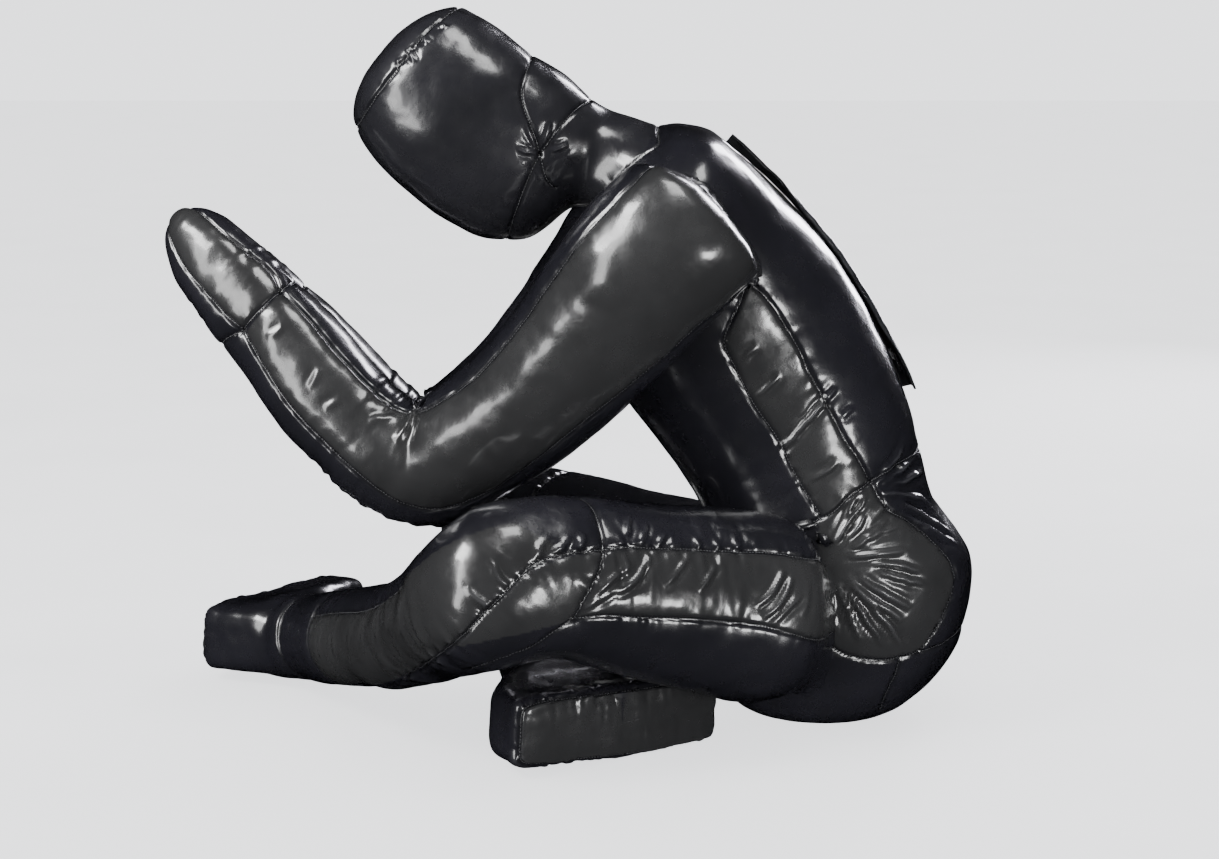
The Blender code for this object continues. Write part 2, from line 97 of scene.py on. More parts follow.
def ease(t):
    t = np.clip(t, 0.0, 1.0)
    return t * t * (3.0 - 2.0 * t)


def smooth(knots, values, at):
    """A cubic curve that passes through the values at the knots, read at the places given."""
    knots = np.asarray(knots, float)
    values = np.asarray(values, float)
    slopes = np.gradient(values, knots, axis=0)
    i = np.clip(np.searchsorted(knots, at, side="right") - 1, 0, len(knots) - 2)
    span = knots[i + 1] - knots[i]
    t = (at - knots[i]) / span
    if values.ndim > 1:
        t = t[:, None]
        span = span[:, None]
    a, b = values[i], values[i + 1]
    c, d = slopes[i] * span, slopes[i + 1] * span
    return a + t * (c + t * (3 * (b - a) - 2 * c - d + t * (2 * (a - b) + c + d)))


NOISE_SIZE = 24
NOISE_TABLES = {}


def noise(seed, x, y=0.0, z=0.0):
    """Smooth noise from -1 to 1 that repeats after NOISE_SIZE units each way."""
    if seed not in NOISE_TABLES:
        NOISE_TABLES[seed] = np.random.default_rng(seed).uniform(-1, 1, (NOISE_SIZE,) * 3)
    table = NOISE_TABLES[seed]
    parts = np.broadcast_arrays(*(np.asarray(a, float) for a in (x, y, z)))
    cells = [np.floor(a).astype(int) for a in parts]
    steps = [a - c for a, c in zip(parts, cells)]
    steps = [s * s * (3 - 2 * s) for s in steps]
    total = 0.0
    for corner in range(8):
        bits = (corner & 1, corner >> 1 & 1, corner >> 2 & 1)
        weight = 1.0
        for step, bit in zip(steps, bits):
            weight = weight * (step if bit else 1.0 - step)
        index = tuple((c + bit) % NOISE_SIZE for c, bit in zip(cells, bits))
        total = total + weight * table[index]
    return total


def run_along(line):
    """Length from the start of a line to each of its points."""
    return np.concatenate([[0.0], np.cumsum(np.linalg.norm(np.diff(line, axis=0), axis=1))])


def mirrored(route, about=180.0):
    """A (station, degrees) route on the other side of the skin; about 540 it is one turn further on."""
    return [(station, about - degrees) for station, degrees in route]


def whole(route):
    """A route from 90 to 270 degrees, carried on round the other side to its start."""
    return route + mirrored(route)[::-1][1:]


def grid_faces(rows, columns, flip=False):
    """The corners of each face of a grid whose last column joins its first."""
    r = np.arange(rows - 1)[:, None]
    c = np.arange(columns)[None, :]
    n = (c + 1) % columns
    quads = [r * columns + c, r * columns + n, (r + 1) * columns + n, (r + 1) * columns + c]
    if flip:
        quads.reverse()
    return np.stack([np.broadcast_to(q, (rows - 1, columns)).ravel() for q in quads], axis=1)


def in_scene(name, data):
    """A new object in the scene."""
    made = bpy.data.objects.new(name, data)
    bpy.context.scene.collection.objects.link(made)
    return made


# ------------ skins

def outline_at(turn, out, inner, power):
    """Places across and in on a rounded outline at angles in radians: the lower the power, the boxier."""
    cosine, sine = np.cos(turn), np.sin(turn)
    across = np.sign(cosine) * np.abs(cosine) ** power * out
    return across, np.sign(sine) * np.abs(sine) ** power * inner


def spaced(size, angles):
    """Angles for each row's rounded outline; on boxy rows they are spread evenly along the outline."""
    turns = np.repeat(angles[None, :], len(size), axis=0)
    fine = np.linspace(0.0, 360.0, 1441)
    for row, (out, inner, power) in enumerate(size):
        share = ease((0.85 - power) / 0.25)
        if share > 0.0:
            across, deep = outline_at(np.radians(fine), out, inner, power)
            run = np.concatenate([[0.0], np.cumsum(np.hypot(np.diff(across), np.diff(deep)))])
            even = np.interp(angles / 360.0 * run[-1], run, fine)
            turns[row] += share * (even - turns[row])
    return turns


class Skin:
    """Grid of points swept through stations. A station is (centre, direction, half out, half in,
    squareness): out is the reference direction squared to the sweep, and in is across it."""

    def __init__(self, stations, out, hand, columns):
        centres = np.array([s[0] for s in stations], float)
        ways = unit(np.array([s[1] for s in stations], float))
        sizes = np.array([s[2:5] for s in stations], float)
        reach = np.linalg.norm(np.diff(centres, axis=0), axis=1)
        growth = np.abs(np.diff(sizes[:, :2], axis=0)).max(axis=1)
        self.knots = np.concatenate([[0.0], np.cumsum(np.hypot(reach, growth))])
        rows = int(self.knots[-1] / ROW_STEP) + 2
        self.along = np.linspace(0.0, self.knots[-1], rows)
        self.hand = hand
        centre = smooth(self.knots, centres, self.along)
        way = unit(smooth(self.knots, ways, self.along))
        size = smooth(self.knots, sizes, self.along)
        size[:, :2] = np.maximum(size[:, :2], THINNEST)
        out = np.asarray(out, float)
        out = smooth(self.knots, out, self.along) if out.ndim > 1 else np.broadcast_to(out, way.shape)
        side = unit(out - (out * way).sum(1, keepdims=True) * way)
        inner = np.cross(way, side) * hand
        self.angles = np.arange(columns) * 360.0 / columns
        turn = np.radians(spaced(size, self.angles))
        across, deep = outline_at(turn, size[:, 0:1], size[:, 1:2], size[:, 2:3])
        offset = side[:, None] * across[..., None]
        self.points = centre[:, None] + offset + inner[:, None] * deep[..., None]
        self.lift, self.panel, self.seam = np.zeros((3, *self.points.shape[:2]))
        self.stitches = []
        self.facing = None

    def row_at(self, station):
        """Row number (not rounded) of a place given in stations, such as 2.5."""
        knots = np.interp(station, np.arange(len(self.knots)), self.knots)
        return np.interp(knots, self.along, np.arange(len(self.along)))

    def row_stations(self):
        """Station of each row."""
        numbers = np.arange(len(self.knots))
        return np.interp(np.arange(len(self.along)), self.row_at(numbers), numbers)

    def normals(self, points):
        """Outward normals of a grid of points of this skin."""
        along = np.gradient(points, axis=0)
        around = (np.roll(points, -1, axis=1) - np.roll(points, 1, axis=1)) / 2
        normal = np.cross(around, along) * self.hand
        length = np.linalg.norm(normal, axis=2, keepdims=True)
        return normal / np.maximum(length, 1e-12)

    def facing_normals(self):
        """Normals of the plain skin as a list, worked out once."""
        if self.facing is None:
            self.facing = self.normals(self.points).reshape(-1, 3)
        return self.facing

    def read(self, grid, rows, degrees):
        """Values of a grid at places between its rows and columns."""
        count = grid.shape[1]
        columns = np.asarray(degrees) / 360.0 * count
        row = np.clip(np.floor(rows).astype(int), 0, grid.shape[0] - 2)
        column = np.floor(columns).astype(int)
        up, on = rows - row, columns - column
        following = (column + 1) % count
        column = column % count
        if grid.ndim == 3:
            up, on = up[:, None], on[:, None]
        low = grid[row, column] * (1 - on) + grid[row, following] * on
        high = grid[row + 1, column] * (1 - on) + grid[row + 1, following] * on
        return low * (1 - up) + high * up

    def curve(self, route):
        """Rows, degrees and points of a line on the skin through (station, degrees) places."""
        route = np.array(route, float)
        route[:, 1] = np.unwrap(route[:, 1], period=360.0)
        steps = np.arange(len(route))
        fine = np.linspace(0, len(route) - 1, 60 * (len(route) - 1) + 1)
        path = smooth(steps, route, fine)
        rows = self.row_at(path[:, 0])
        run = run_along(self.read(self.points, rows, path[:, 1]))
        even = np.linspace(0.0, run[-1], max(int(run[-1] / 0.002), 4))
        rows = np.interp(even, run, rows)
        degrees = np.interp(even, run, path[:, 1])
        return rows, degrees, self.read(self.points, rows, degrees), even

    def ring(self, station):
        """A line right round the skin at a station."""
        degrees = np.linspace(0.0, 360.0, 240)
        rows = np.full(len(degrees), float(self.row_at(station)))
        line = self.read(self.points, rows, degrees)
        return rows, degrees, line, run_along(line)

    def near(self, line, run, reach=0.05):
        """Every grid point's distance from a line, place along it and side of it; out of reach it is FAR."""
        low, high = line.min(0) - reach, line.max(0) + reach
        flat = self.points.reshape(-1, 3)
        chosen = np.nonzero(((flat > low) & (flat < high)).all(1))[0]
        normals = self.facing_normals()
        tangent = unit(np.gradient(line, axis=0))
        distance = np.full(len(flat), FAR)
        place_on = np.zeros(len(flat))
        side = np.zeros(len(flat))
        for part in np.array_split(chosen, max(1, len(chosen) // 4000)):
            gap = flat[part][:, None] - line[None]
            k = (gap ** 2).sum(2).argmin(1)
            offset = gap[np.arange(len(part)), k]
            forward = (offset * tangent[k]).sum(1)
            inside = (k > 0) & (k < len(line) - 1)
            forward = np.where(inside, forward, 0.0)
            rest = offset - forward[:, None] * tangent[k]
            distance[part] = np.linalg.norm(rest, axis=1)
            place_on[part] = run[k] + forward
            side[part] = np.sign((np.cross(tangent[k], normals[part]) * rest).sum(1))
        shape = self.lift.shape
        return distance.reshape(shape), place_on.reshape(shape), side.reshape(shape)

    def sew(self, route, seed, depth=0.0022, dip=0.0030, pucker=0.0016, wave=0.0088, length=0.011,
            calm=None):
        """Seam along a route or a ring: a groove, a dip beside it, and puckers square to it that are
        length long and wave apart. calm gives their strength by the place along the seam."""
        line = self.curve(route) if isinstance(route, list) else route
        points, run = line[2], line[3]
        distance, along, side = self.near(points, run)
        groove = -depth * np.exp(-((distance / GROOVE_WIDTH) ** 2))
        beside = -dip * np.exp(-distance / DIP_REACH)
        strength = 0.35 + 0.9 * np.clip(noise(seed + 50, along / 0.055, side * 2.3) + 0.35, 0, 1)
        if calm is not None:
            strength = strength * calm(along)
        reach = length * (1.0 + 0.75 * noise(seed + 51, along / wave * 0.5, side * 3.1))
        shape = noise(seed, along / wave * 1.15, distance / 0.030 + side * 4.0)
        shape = np.sign(shape) * np.abs(shape) ** 0.8
        fade = np.exp(-distance / np.maximum(reach, 0.003)) * (1 - np.exp(-((distance / 0.0016) ** 2)))
        self.lift += groove + beside + pucker * strength * shape * fade
        # painted shade: this mask marks where the colour is darkened along the seam's groove
        self.seam = np.maximum(self.seam, np.exp(-((distance / SHADE_WIDTH) ** 2)))
        self.stitches.append(line)

    def press(self, line, run, depth, width, two_sided):
        """Raise a crest along a line, highest at its middle, with a hollow on one side or on both."""
        distance, along, side = self.near(line, run, reach=4 * width)
        taper = np.sin(np.pi * np.clip(along / run[-1], 0.0, 1.0)) ** 0.7
        signed = distance * side / width
        beside = np.abs(signed) if two_sided else signed
        crest = np.exp(-(signed ** 2) * 1.6) - 0.75 * np.exp(-((beside - 1.35) ** 2) * 1.3)
        self.lift += depth * taper * crest * (distance < 4 * width)

    def fold(self, first, second, depth, width, bend=0.0):
        """One fold from first to second, (station, degrees) places: a crest with a hollow on one side."""
        middle = ((first[0] + second[0]) / 2, (first[1] + second[1]) / 2 + bend)
        line, run = self.curve([first, middle, second])[2:]
        self.press(line, run, depth, width, two_sided=False)

    def crease(self, start, end, depth, width, bend=0.0):
        """A fold from one point to another, pressed to the nearest grid points."""
        start, end = np.asarray(start, float), np.asarray(end, float)
        flat = self.points.reshape(-1, 3)
        steps = max(8, int(np.linalg.norm(end - start) / 0.004))
        t = np.linspace(0, 1, steps)[:, None]
        line = start + (end - start) * t
        normal = self.facing_normals()[((flat - line[steps // 2]) ** 2).sum(1).argmin()]
        line = line + np.cross(normal, unit(end - start)) * bend * np.sin(math.pi * t)
        close = flat[((flat > line.min(0) - 0.03) & (flat < line.max(0) + 0.03)).all(1)]
        snapped = np.array([close[((close - p) ** 2).sum(1).argmin()] for p in line])
        smoothed = snapped.copy()
        smoothed[1:-1] = (snapped[:-2] + 2 * snapped[1:-1] + snapped[2:]) / 4
        self.press(smoothed, run_along(smoothed), depth, width, two_sided=True)

    def panel_between(self, low_edge, high_edge):
        """Mark as side panel the points between two seams, given as (station, degrees) routes."""
        stations = self.row_stations()
        low, high = (np.interp(stations, *np.array(sorted(edge)).T, left=np.nan, right=np.nan)
                     for edge in (low_edge, high_edge))
        turn = (self.angles[None, :] - low[:, None]) % 360.0
        width = (high - low) % 360.0
        self.panel = np.maximum(self.panel, (turn > 0) & (turn < width[:, None]))

    def soften(self, size, amount, seed):
        """Slow unevenness of the stuffing under the skin."""
        p = self.points / size
        self.lift += amount * noise(seed, p[..., 0], p[..., 1], p[..., 2])

    def finished(self):
        """Points with all the lifts added, kept above the floor."""
        done = self.points + self.normals(self.points) * self.lift[..., None]
        height = done[..., 2]
        pressed = FLOOR_GAP + (FLOOR_PRESS - FLOOR_GAP) * np.exp((height - FLOOR_PRESS) / 0.006)
        done[..., 2] = np.where(height < FLOOR_PRESS, pressed, height)
        return done


# ------------ the shapes

BACK_CENTRE = place("zip_slide")
NECK = place("neck")
# the head's axis, from the neck to the crown, and square to it towards the back of the head
HEAD_WAY = unit([0.0, -0.907, 0.421])
HEAD_UP = np.cross(HEAD_WAY, X_AXIS)


def on_arc(degrees, radius):
    """Point of the mid plane at an angle and a radius about the back's centre."""
    angle = math.radians(degrees)
    return BACK_CENTRE + np.array([0.0, math.cos(angle), math.sin(angle)]) * radius


def trunk_stations():
    """Pelvis, torso, neck and head as one sweep, from under the seat to the crown."""
    stations = []
    # pelvis: place front to back, height, half width, half depth, squareness
    for y, z, wide, deep, square in (
        (0.290, 0.0000, 0.0005, 0.0005, 1.00),
        (0.290, 0.0000, 0.036, 0.032, 1.00),
        (0.290, 0.0015, 0.066, 0.062, 1.00),
        (0.287, 0.0130, 0.102, 0.098, 1.00),
        (0.289, 0.044, 0.136, 0.129, 0.98),
        (0.298, 0.094, 0.160, 0.149, 0.92),
        (0.304, 0.146, 0.168, 0.1535, 0.88),
        (0.304, 0.196, 0.164, 0.151, 0.86),
    ):
        stations.append(((0.0, y, z), Z_AXIS, wide, deep, square))
    # torso: degrees round the back's arc, front radius, back radius, half width, squareness
    for degrees, front, back, wide, square in (
        (9.0, 0.366, 0.6250, 0.157, 0.86),
        (13.8, 0.361, 0.6225, 0.151, 0.86),
        (20.0, 0.351, 0.6230, 0.150, 0.86),
        (28.0, 0.341, 0.6230, 0.148, 0.86),
        (36.0, 0.335, 0.6230, 0.149, 0.86),
        (42.0, 0.339, 0.6230, 0.155, 0.84),
        (46.5, 0.353, 0.6235, 0.164, 0.78),
        (50.5, 0.380, 0.6245, 0.170, 0.68),
        (54.0, 0.413, 0.6245, 0.162, 0.63),
        (57.3, 0.449, 0.6130, 0.128, 0.66),
        (60.0, 0.474, 0.5970, 0.079, 0.88),
    ):
        centre = on_arc(degrees, (front + back) / 2)
        way = np.cross(X_AXIS, unit(centre - BACK_CENTRE))
        stations.append((centre, way, wide, (back - front) / 2, square))
    # head: place along its axis, middle, tilt, half height, half width
    for along, middle, tilt, high, wide in (
        (0.054, -0.004, 0.0, 0.057, 0.057),
        (0.085, -0.029, 0.0, 0.087, 0.067),
        (0.122, -0.034, 0.0, 0.102, 0.080),
        (0.167, -0.032, 2.0, 0.105, 0.087),
        (0.215, -0.024, 6.0, 0.104, 0.088),
        (0.259, -0.011, 12.0, 0.099, 0.083),
        (0.2925, 0.003, 17.0, 0.086, 0.073),
        (0.3045, 0.006, 17.0, 0.070, 0.060),
        (0.3130, 0.008, 17.0, 0.050, 0.043),
        (0.3180, 0.009, 17.0, 0.026, 0.022),
        (0.3190, 0.010, 17.0, 0.0005, 0.0005),
    ):
        way = HEAD_WAY * math.cos(math.radians(tilt)) + HEAD_UP * math.sin(math.radians(tilt))
        stations.append((NECK + HEAD_WAY * along + HEAD_UP * middle, way, wide, high, 0.88))
    return stations


def arm_stations(side):
    """Sleeve and mitten, from the armhole to the finger tips."""
    hand = HANDS[side]
    shoulder, elbow, wrist = map(place, of_side(side, "shoulder elbow wrist"))
    low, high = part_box(f"{side}_hand_fill")
    tip = np.array([low.x if hand > 0 else high.x, low.y, high.z])
    tip = wrist + unit(tip - wrist) * 0.139
    upper, fore, mitt = unit(elbow - shoulder), unit(wrist - elbow), unit(tip - wrist)
    out = X_AXIS * hand
    ring_way = unit([0.757 * hand, -0.469, -0.457])
    ring = shoulder + np.array([-0.070 * hand, 0.020, -0.012])
    stations = [(ring - ring_way * 0.030, ring_way, 0.066, 0.083, 0.9),
                (ring, ring_way, 0.070, 0.087, 0.9),
                (shoulder + [-0.022 * hand, 0.008, -0.004], ring_way + upper, 0.078, 0.090, 0.9)]

    def segment(start, end, way, rows):
        inner = np.cross(way, out) * hand
        for part, under, wide, deep in rows:
            stations.append((start + (end - start) * part - inner * under, way, wide, deep, 0.9))

    # part of the way along, how far the middle hangs under the bone line, half width, half depth
    segment(shoulder, elbow, upper, ((0.16, 0.008, 0.081, 0.090), (0.30, 0.014, 0.080, 0.086),
            (0.50, 0.024, 0.075, 0.080), (0.70, 0.025, 0.071, 0.074), (0.86, 0.016, 0.068, 0.071)))
    stations.append((elbow + np.array([0.0, 0.004, 0.001]), upper + fore, 0.066, 0.070, 0.9))
    segment(elbow, wrist, fore, ((0.20, 0.017, 0.064, 0.064), (0.38, 0.016, 0.062, 0.062),
            (0.55, 0.011, 0.060, 0.063), (0.75, 0.001, 0.056, 0.061), (0.95, -0.008, 0.050, 0.057)))
    segment(wrist, tip, mitt, ((0.17, -0.008, 0.045, 0.055), (0.40, -0.006, 0.043, 0.052),
            (0.65, -0.003, 0.041, 0.047), (0.86, -0.003, 0.036, 0.037), (1.00, -0.003, 0.028, 0.026),
            (1.08, -0.003, 0.015, 0.013), (1.10, -0.003, 0.0005, 0.0005)))
    return stations, out


def leg_stations(side):
    """Trouser leg and foot, from the hip to the middle of the sole."""
    left = side == "left"
    hand = HANDS[side]
    hip, knee, ankle = map(place, of_side(side, "hip knee ankle"))
    hinge = unit(JOINTS[f"{side}_knee"]["axis"])
    hinge = hinge * np.sign(hinge[2])
    thigh, shin = unit(knee - hip), unit(ankle - knee)
    toe_way = unit([-0.87, 0.50, 0.0]) if left else unit([-0.57, 0.82, 0.0])
    sole_way = np.array([-toe_way[1], toe_way[0], 0.0]) * hand
    hip_way = unit([0.30 * hand, -0.95, 0.03])
    stations = []
    for back, high, wide in ((0.034, 0.066, 0.068), (0.0, 0.082, 0.086)):
        centre = np.array([0.082 * hand, hip[1] + back, hip[2] - (0.0 if left else 0.008)])
        stations.append((centre, hip_way, high, wide, 0.95))
    # part of the way along the thigh, rise above the bone line, half height, half width
    for part, rise, high, wide in {
        "left": ((0.16, 0.000, 0.106, 0.099), (0.36, 0.000, 0.101, 0.092), (0.58, 0.001, 0.093, 0.084),
                 (0.80, 0.002, 0.088, 0.078)),
        "right": ((0.16, -0.014, 0.079, 0.092), (0.36, -0.016, 0.081, 0.086), (0.58, -0.010, 0.081, 0.081),
                  (0.80, -0.005, 0.079, 0.077)),
    }[side]:
        stations.append((hip + (knee - hip) * part + Z_AXIS * rise, thigh, high, wide, 0.92))
    bend = np.array([-0.004 * hand, 0.004, -0.020])
    stations.append((knee + bend, thigh + shin, 0.086 if left else 0.074, 0.074, 0.90))
    # part of the way along the shin, move back, rise above the bone line, half height, half width
    for part, back, rise, high, wide in {
        "left": ((0.20, 0.0, -0.034, 0.066, 0.066), (0.38, 0.0, -0.037, 0.060, 0.060),
                 (0.56, 0.0, -0.025, 0.0585, 0.057), (0.74, 0.0, -0.011, 0.057, 0.054),
                 (0.90, 0.0, 0.001, 0.053, 0.050)),
        "right": ((0.20, 0.016, -0.008, 0.067, 0.066), (0.38, 0.030, -0.004, 0.063, 0.060),
                  (0.56, 0.040, 0.0, 0.059, 0.055), (0.74, 0.046, 0.0, 0.054, 0.050),
                  (0.90, 0.046, 0.002, 0.049, 0.047)),
    }[side]:
        centre = knee + (ankle - knee) * part + np.array([0.0, back, rise])
        stations.append((centre, shin, high, wide, 0.95))
    # foot: depth from the ankle towards the sole, shift towards the toes, rise, half height, half length
    shifts = (0.018, 0.048) if left else (0.050, 0.064)
    for depth, shift, rise, high, long, square in (
        (0.020, shifts[0], 0.008, 0.051, 0.070, 0.80),
        (0.040, shifts[1], 0.007, 0.050, 0.102, 0.58),
        (0.062, 0.074, 0.003, 0.045, 0.129, 0.38),
        (0.088, 0.077, 0.001, 0.0420, 0.134, 0.30),
        (0.113, 0.077, 0.000, 0.0405, 0.1335, 0.28),
        (0.1190, 0.077, 0.000, 0.0360, 0.129, 0.30),
        (0.1210, 0.077, 0.000, 0.0270, 0.117, 0.40),
        (0.1220, 0.077, 0.000, 0.0115, 0.070, 0.60),
        (0.1223, 0.077, 0.000, 0.0005, 0.0005, 0.80),
    ):
        centre = ankle + sole_way * depth + toe_way * shift + Z_AXIS * rise
        stations.append((centre, sole_way, high, long, square))
    outs = [hinge] * 12 + [unit(Z_AXIS + toe_way * FOOT_TILT)] * 9
    return stations, outs


# ------------ materials

class Look:
    """A new material with its shader, and short ways to add nodes to it."""

    def __init__(self, name):
        self.material = bpy.data.materials.new(name)
        self.material.use_nodes = True
        self.tree = self.material.node_tree
        self.shader = self.tree.nodes["Principled BSDF"]

    def feed(self, node, **values):
        """Give a node's settings and inputs numbers, colours or the outputs of other nodes."""
        for key, value in values.items():
            name = key.replace("_", " ")
            if isinstance(value, bpy.types.NodeSocket):
                self.tree.links.new(value, node.inputs[name])
            elif hasattr(node, key):
                setattr(node, key, value)
            else:
                node.inputs[name].default_value = (*value, 1) if isinstance(value, tuple) else value
        return node

    def node(self, kind, output, **values):
        """An output of a new node."""
        return self.feed(self.tree.nodes.new(kind), **values).outputs[output]

    def spread(self, source, low, high, start=0.0, end=1.0):
        """Map a value from start-end to low-high, kept between them."""
        return self.node("ShaderNodeMapRange", "Result", Value=source, From_Min=start, From_Max=end,
                         To_Min=low, To_Max=high)

    def tint(self, amount, first, second, blend="MIX"):
        """Mix of two colours by an amount from 0 to 1."""
        return self.node("ShaderNodeMix", "Result", data_type="RGBA", blend_type=blend, Factor=amount,
                         A=first, B=second)


def vinyl_material():
    """Glossy black coated vinyl: the side panels greyer, finely grained, scuffed where it stands proud, and
    darkened along the seams by painted shade.
    """
    look = Look("glossy_vinyl")
    rest = look.node("ShaderNodeAttribute", "Vector", attribute_name="rest")
    panel = look.node("ShaderNodeAttribute", "Fac", attribute_name="panel")
    seam = look.node("ShaderNodeAttribute", "Fac", attribute_name="seam")
    cloudy, mottled, grain, soft = (
        look.node("ShaderNodeTexNoise", "Fac", Scale=scale, Detail=detail, Roughness=rough, Vector=rest)
        for scale, detail, rough in ((9.0, 3.0, 0.5), (55.0, 4.0, 0.6), (1500.0, 2.0, 0.5),
                                     (160.0, 3.0, 0.55)))
    patches = look.spread(cloudy, 0.0, 1.0, 0.3, 0.7)
    dark = look.tint(patches, DARK_VINYL, DARK_VINYL_WORN)
    pale = look.tint(patches, SIDE_VINYL, SIDE_VINYL_WORN)
    proud = look.spread(look.node("ShaderNodeNewGeometry", "Pointiness"), 0.0, 0.5, 0.52, 0.60)
    worn = look.tint(proud, (0.0, 0.0, 0.0), EDGE_WEAR)
    lighter = look.tint(1.0, look.tint(panel, dark, pale), worn, "ADD")
    gloss = look.tree.nodes.new("ShaderNodeMath")
    gloss.operation = "ADD"
    look.tree.links.new(look.spread(mottled, 0.17, 0.27, 0.3, 0.7), gloss.inputs[0])
    look.tree.links.new(look.spread(cloudy, 0.0, 0.07, 0.35, 0.7), gloss.inputs[1])
    fine = look.node("ShaderNodeBump", "Normal", Strength=0.10, Distance=0.0002, Height=grain)
    wavy = look.node("ShaderNodeBump", "Normal", Strength=0.16, Distance=0.0012, Height=soft, Normal=fine)
    # the colour is darkened along the seams by SEAM_SHADE, painted shade in the grooves
    look.feed(look.shader, Base_Color=look.tint(look.spread(seam, 0.0, 0.75), lighter, SEAM_SHADE),
              Roughness=gloss.outputs[0], Specular_IOR_Level=0.55, Coat_Weight=0.45, Coat_Roughness=0.11,
              Normal=wavy)
    return look.material


def simple_material(name, first, second, scale, rough, metallic=0.0, bump=0.2, coat=0.0, wave=None):
    """Material of two near colours mixed by noise, with grain and uneven roughness."""
    look = Look(name)
    place_on = look.node("ShaderNodeTexCoord", "Object")
    speckle = look.node("ShaderNodeTexNoise", "Fac", Scale=scale, Detail=4.0, Roughness=0.6, Vector=place_on)
    height = speckle
    if wave:
        height = look.node("ShaderNodeTexWave", "Fac", Scale=wave, Distortion=0.6, Vector=place_on)
    relief = look.node("ShaderNodeBump", "Normal", Strength=bump, Distance=0.0006, Height=height)
    look.feed(look.shader, Base_Color=look.tint(look.spread(speckle, 0.0, 1.0, 0.3, 0.7), first, second),
              Roughness=look.spread(speckle, rough * 0.8, rough * 1.25, 0.3, 0.7),
              Metallic=metallic, Coat_Weight=coat, Normal=relief)
    return look.material


DARK_VINYL = (0.0048, 0.0048, 0.0062)
DARK_VINYL_WORN = (0.0075, 0.0072, 0.0098)
SIDE_VINYL = (0.0100, 0.0100, 0.0102)
SIDE_VINYL_WORN = (0.0150, 0.0150, 0.0153)
EDGE_WEAR = (0.045, 0.045, 0.048)
# painted shade for the seams' grooves
SEAM_SHADE = (0.004, 0.004, 0.005)
VINYL = vinyl_material()
THREAD = simple_material("sewing_thread", (0.02, 0.02, 0.022), (0.05, 0.05, 0.052), 900.0, 0.35,
                         bump=0.5, coat=0.3)
TAPE = simple_material("woven_zip_tape", (0.008, 0.008, 0.010), (0.016, 0.016, 0.018), 400.0, 0.62,
                       wave=420.0)
TEETH = simple_material("moulded_zip_teeth", (0.012, 0.012, 0.012), (0.03, 0.03, 0.03), 300.0, 0.34,
                        coat=0.2)
METAL = simple_material("worn_zip_metal", (0.42, 0.42, 0.44), (0.62, 0.62, 0.63), 500.0, 0.28, metallic=1.0)
FLAP = simple_material("zip_flap_vinyl", (0.008, 0.008, 0.009), (0.014, 0.014, 0.016), 60.0, 0.30, coat=0.3)


# ------------ pieces

STITCH_STEP = 0.0036
STITCH_LONG = 0.0013
STITCH_THICK = 0.00055
# a thread is a six-sided rod with pointed ends: place along it and share of its thickness
THREAD_SIDES = 6
THREAD_SHAPE = ((-1.0, 0.0), (-0.7, 0.8), (0.7, 0.8), (1.0, 0.0))


def stitch_mesh(skin, points, normals, first, last):
    """Corners and faces of the threads sewn along the skin's seams between two rows."""
    corners, faces = [], []
    count = 0
    corners_each = 2 * THREAD_SIDES + 2
    around = np.arange(THREAD_SIDES) * math.pi / 3
    for rows, degrees, line, run in skin.stitches:
        spots = np.arange(STITCH_STEP, run[-1] - STITCH_STEP, STITCH_STEP)
        row = np.interp(spots, run, rows)
        keep = (row >= first + 0.5) & (row < last - 0.5)
        if not keep.any():
            continue
        row, spots = row[keep], spots[keep]
        turn = np.interp(spots, run, degrees)
        centre = skin.read(points, row, turn)
        normal = unit(skin.read(normals, row, turn))
        ahead = np.stack([np.interp(spots, run, axis) for axis in np.gradient(line, axis=0).T], axis=1)
        ahead = unit(ahead - (ahead * normal).sum(1, keepdims=True) * normal)
        across = np.cross(normal, ahead)
        centre = centre + normal * STITCH_THICK * 1.3
        ring = (across[:, None] * np.cos(around)[None, :, None]
                + normal[:, None] * np.sin(around)[None, :, None])
        parts = []
        for shift, size in THREAD_SHAPE:
            middle = (centre + ahead * STITCH_LONG * shift)[:, None]
            parts.append(middle + ring * STITCH_THICK * size if size else middle)
        corners.append(np.concatenate(parts, axis=1).reshape(-1, 3))
        start = count + np.arange(len(row)) * corners_each
        end = start + corners_each - 1
        for k in range(THREAD_SIDES):
            near, near_next = start + 1 + k, start + 1 + (k + 1) % THREAD_SIDES
            far, far_next = near + THREAD_SIDES, near_next + THREAD_SIDES
            faces.append(np.stack([start, near_next, near, start], axis=1))
            faces.append(np.stack([near, near_next, far_next, far], axis=1))
            faces.append(np.stack([end, far, far_next, end], axis=1))
        count += len(row) * corners_each
    if not corners:
        return np.zeros((0, 3)), np.zeros((0, 4), int)
    return np.concatenate(corners), np.concatenate(faces)


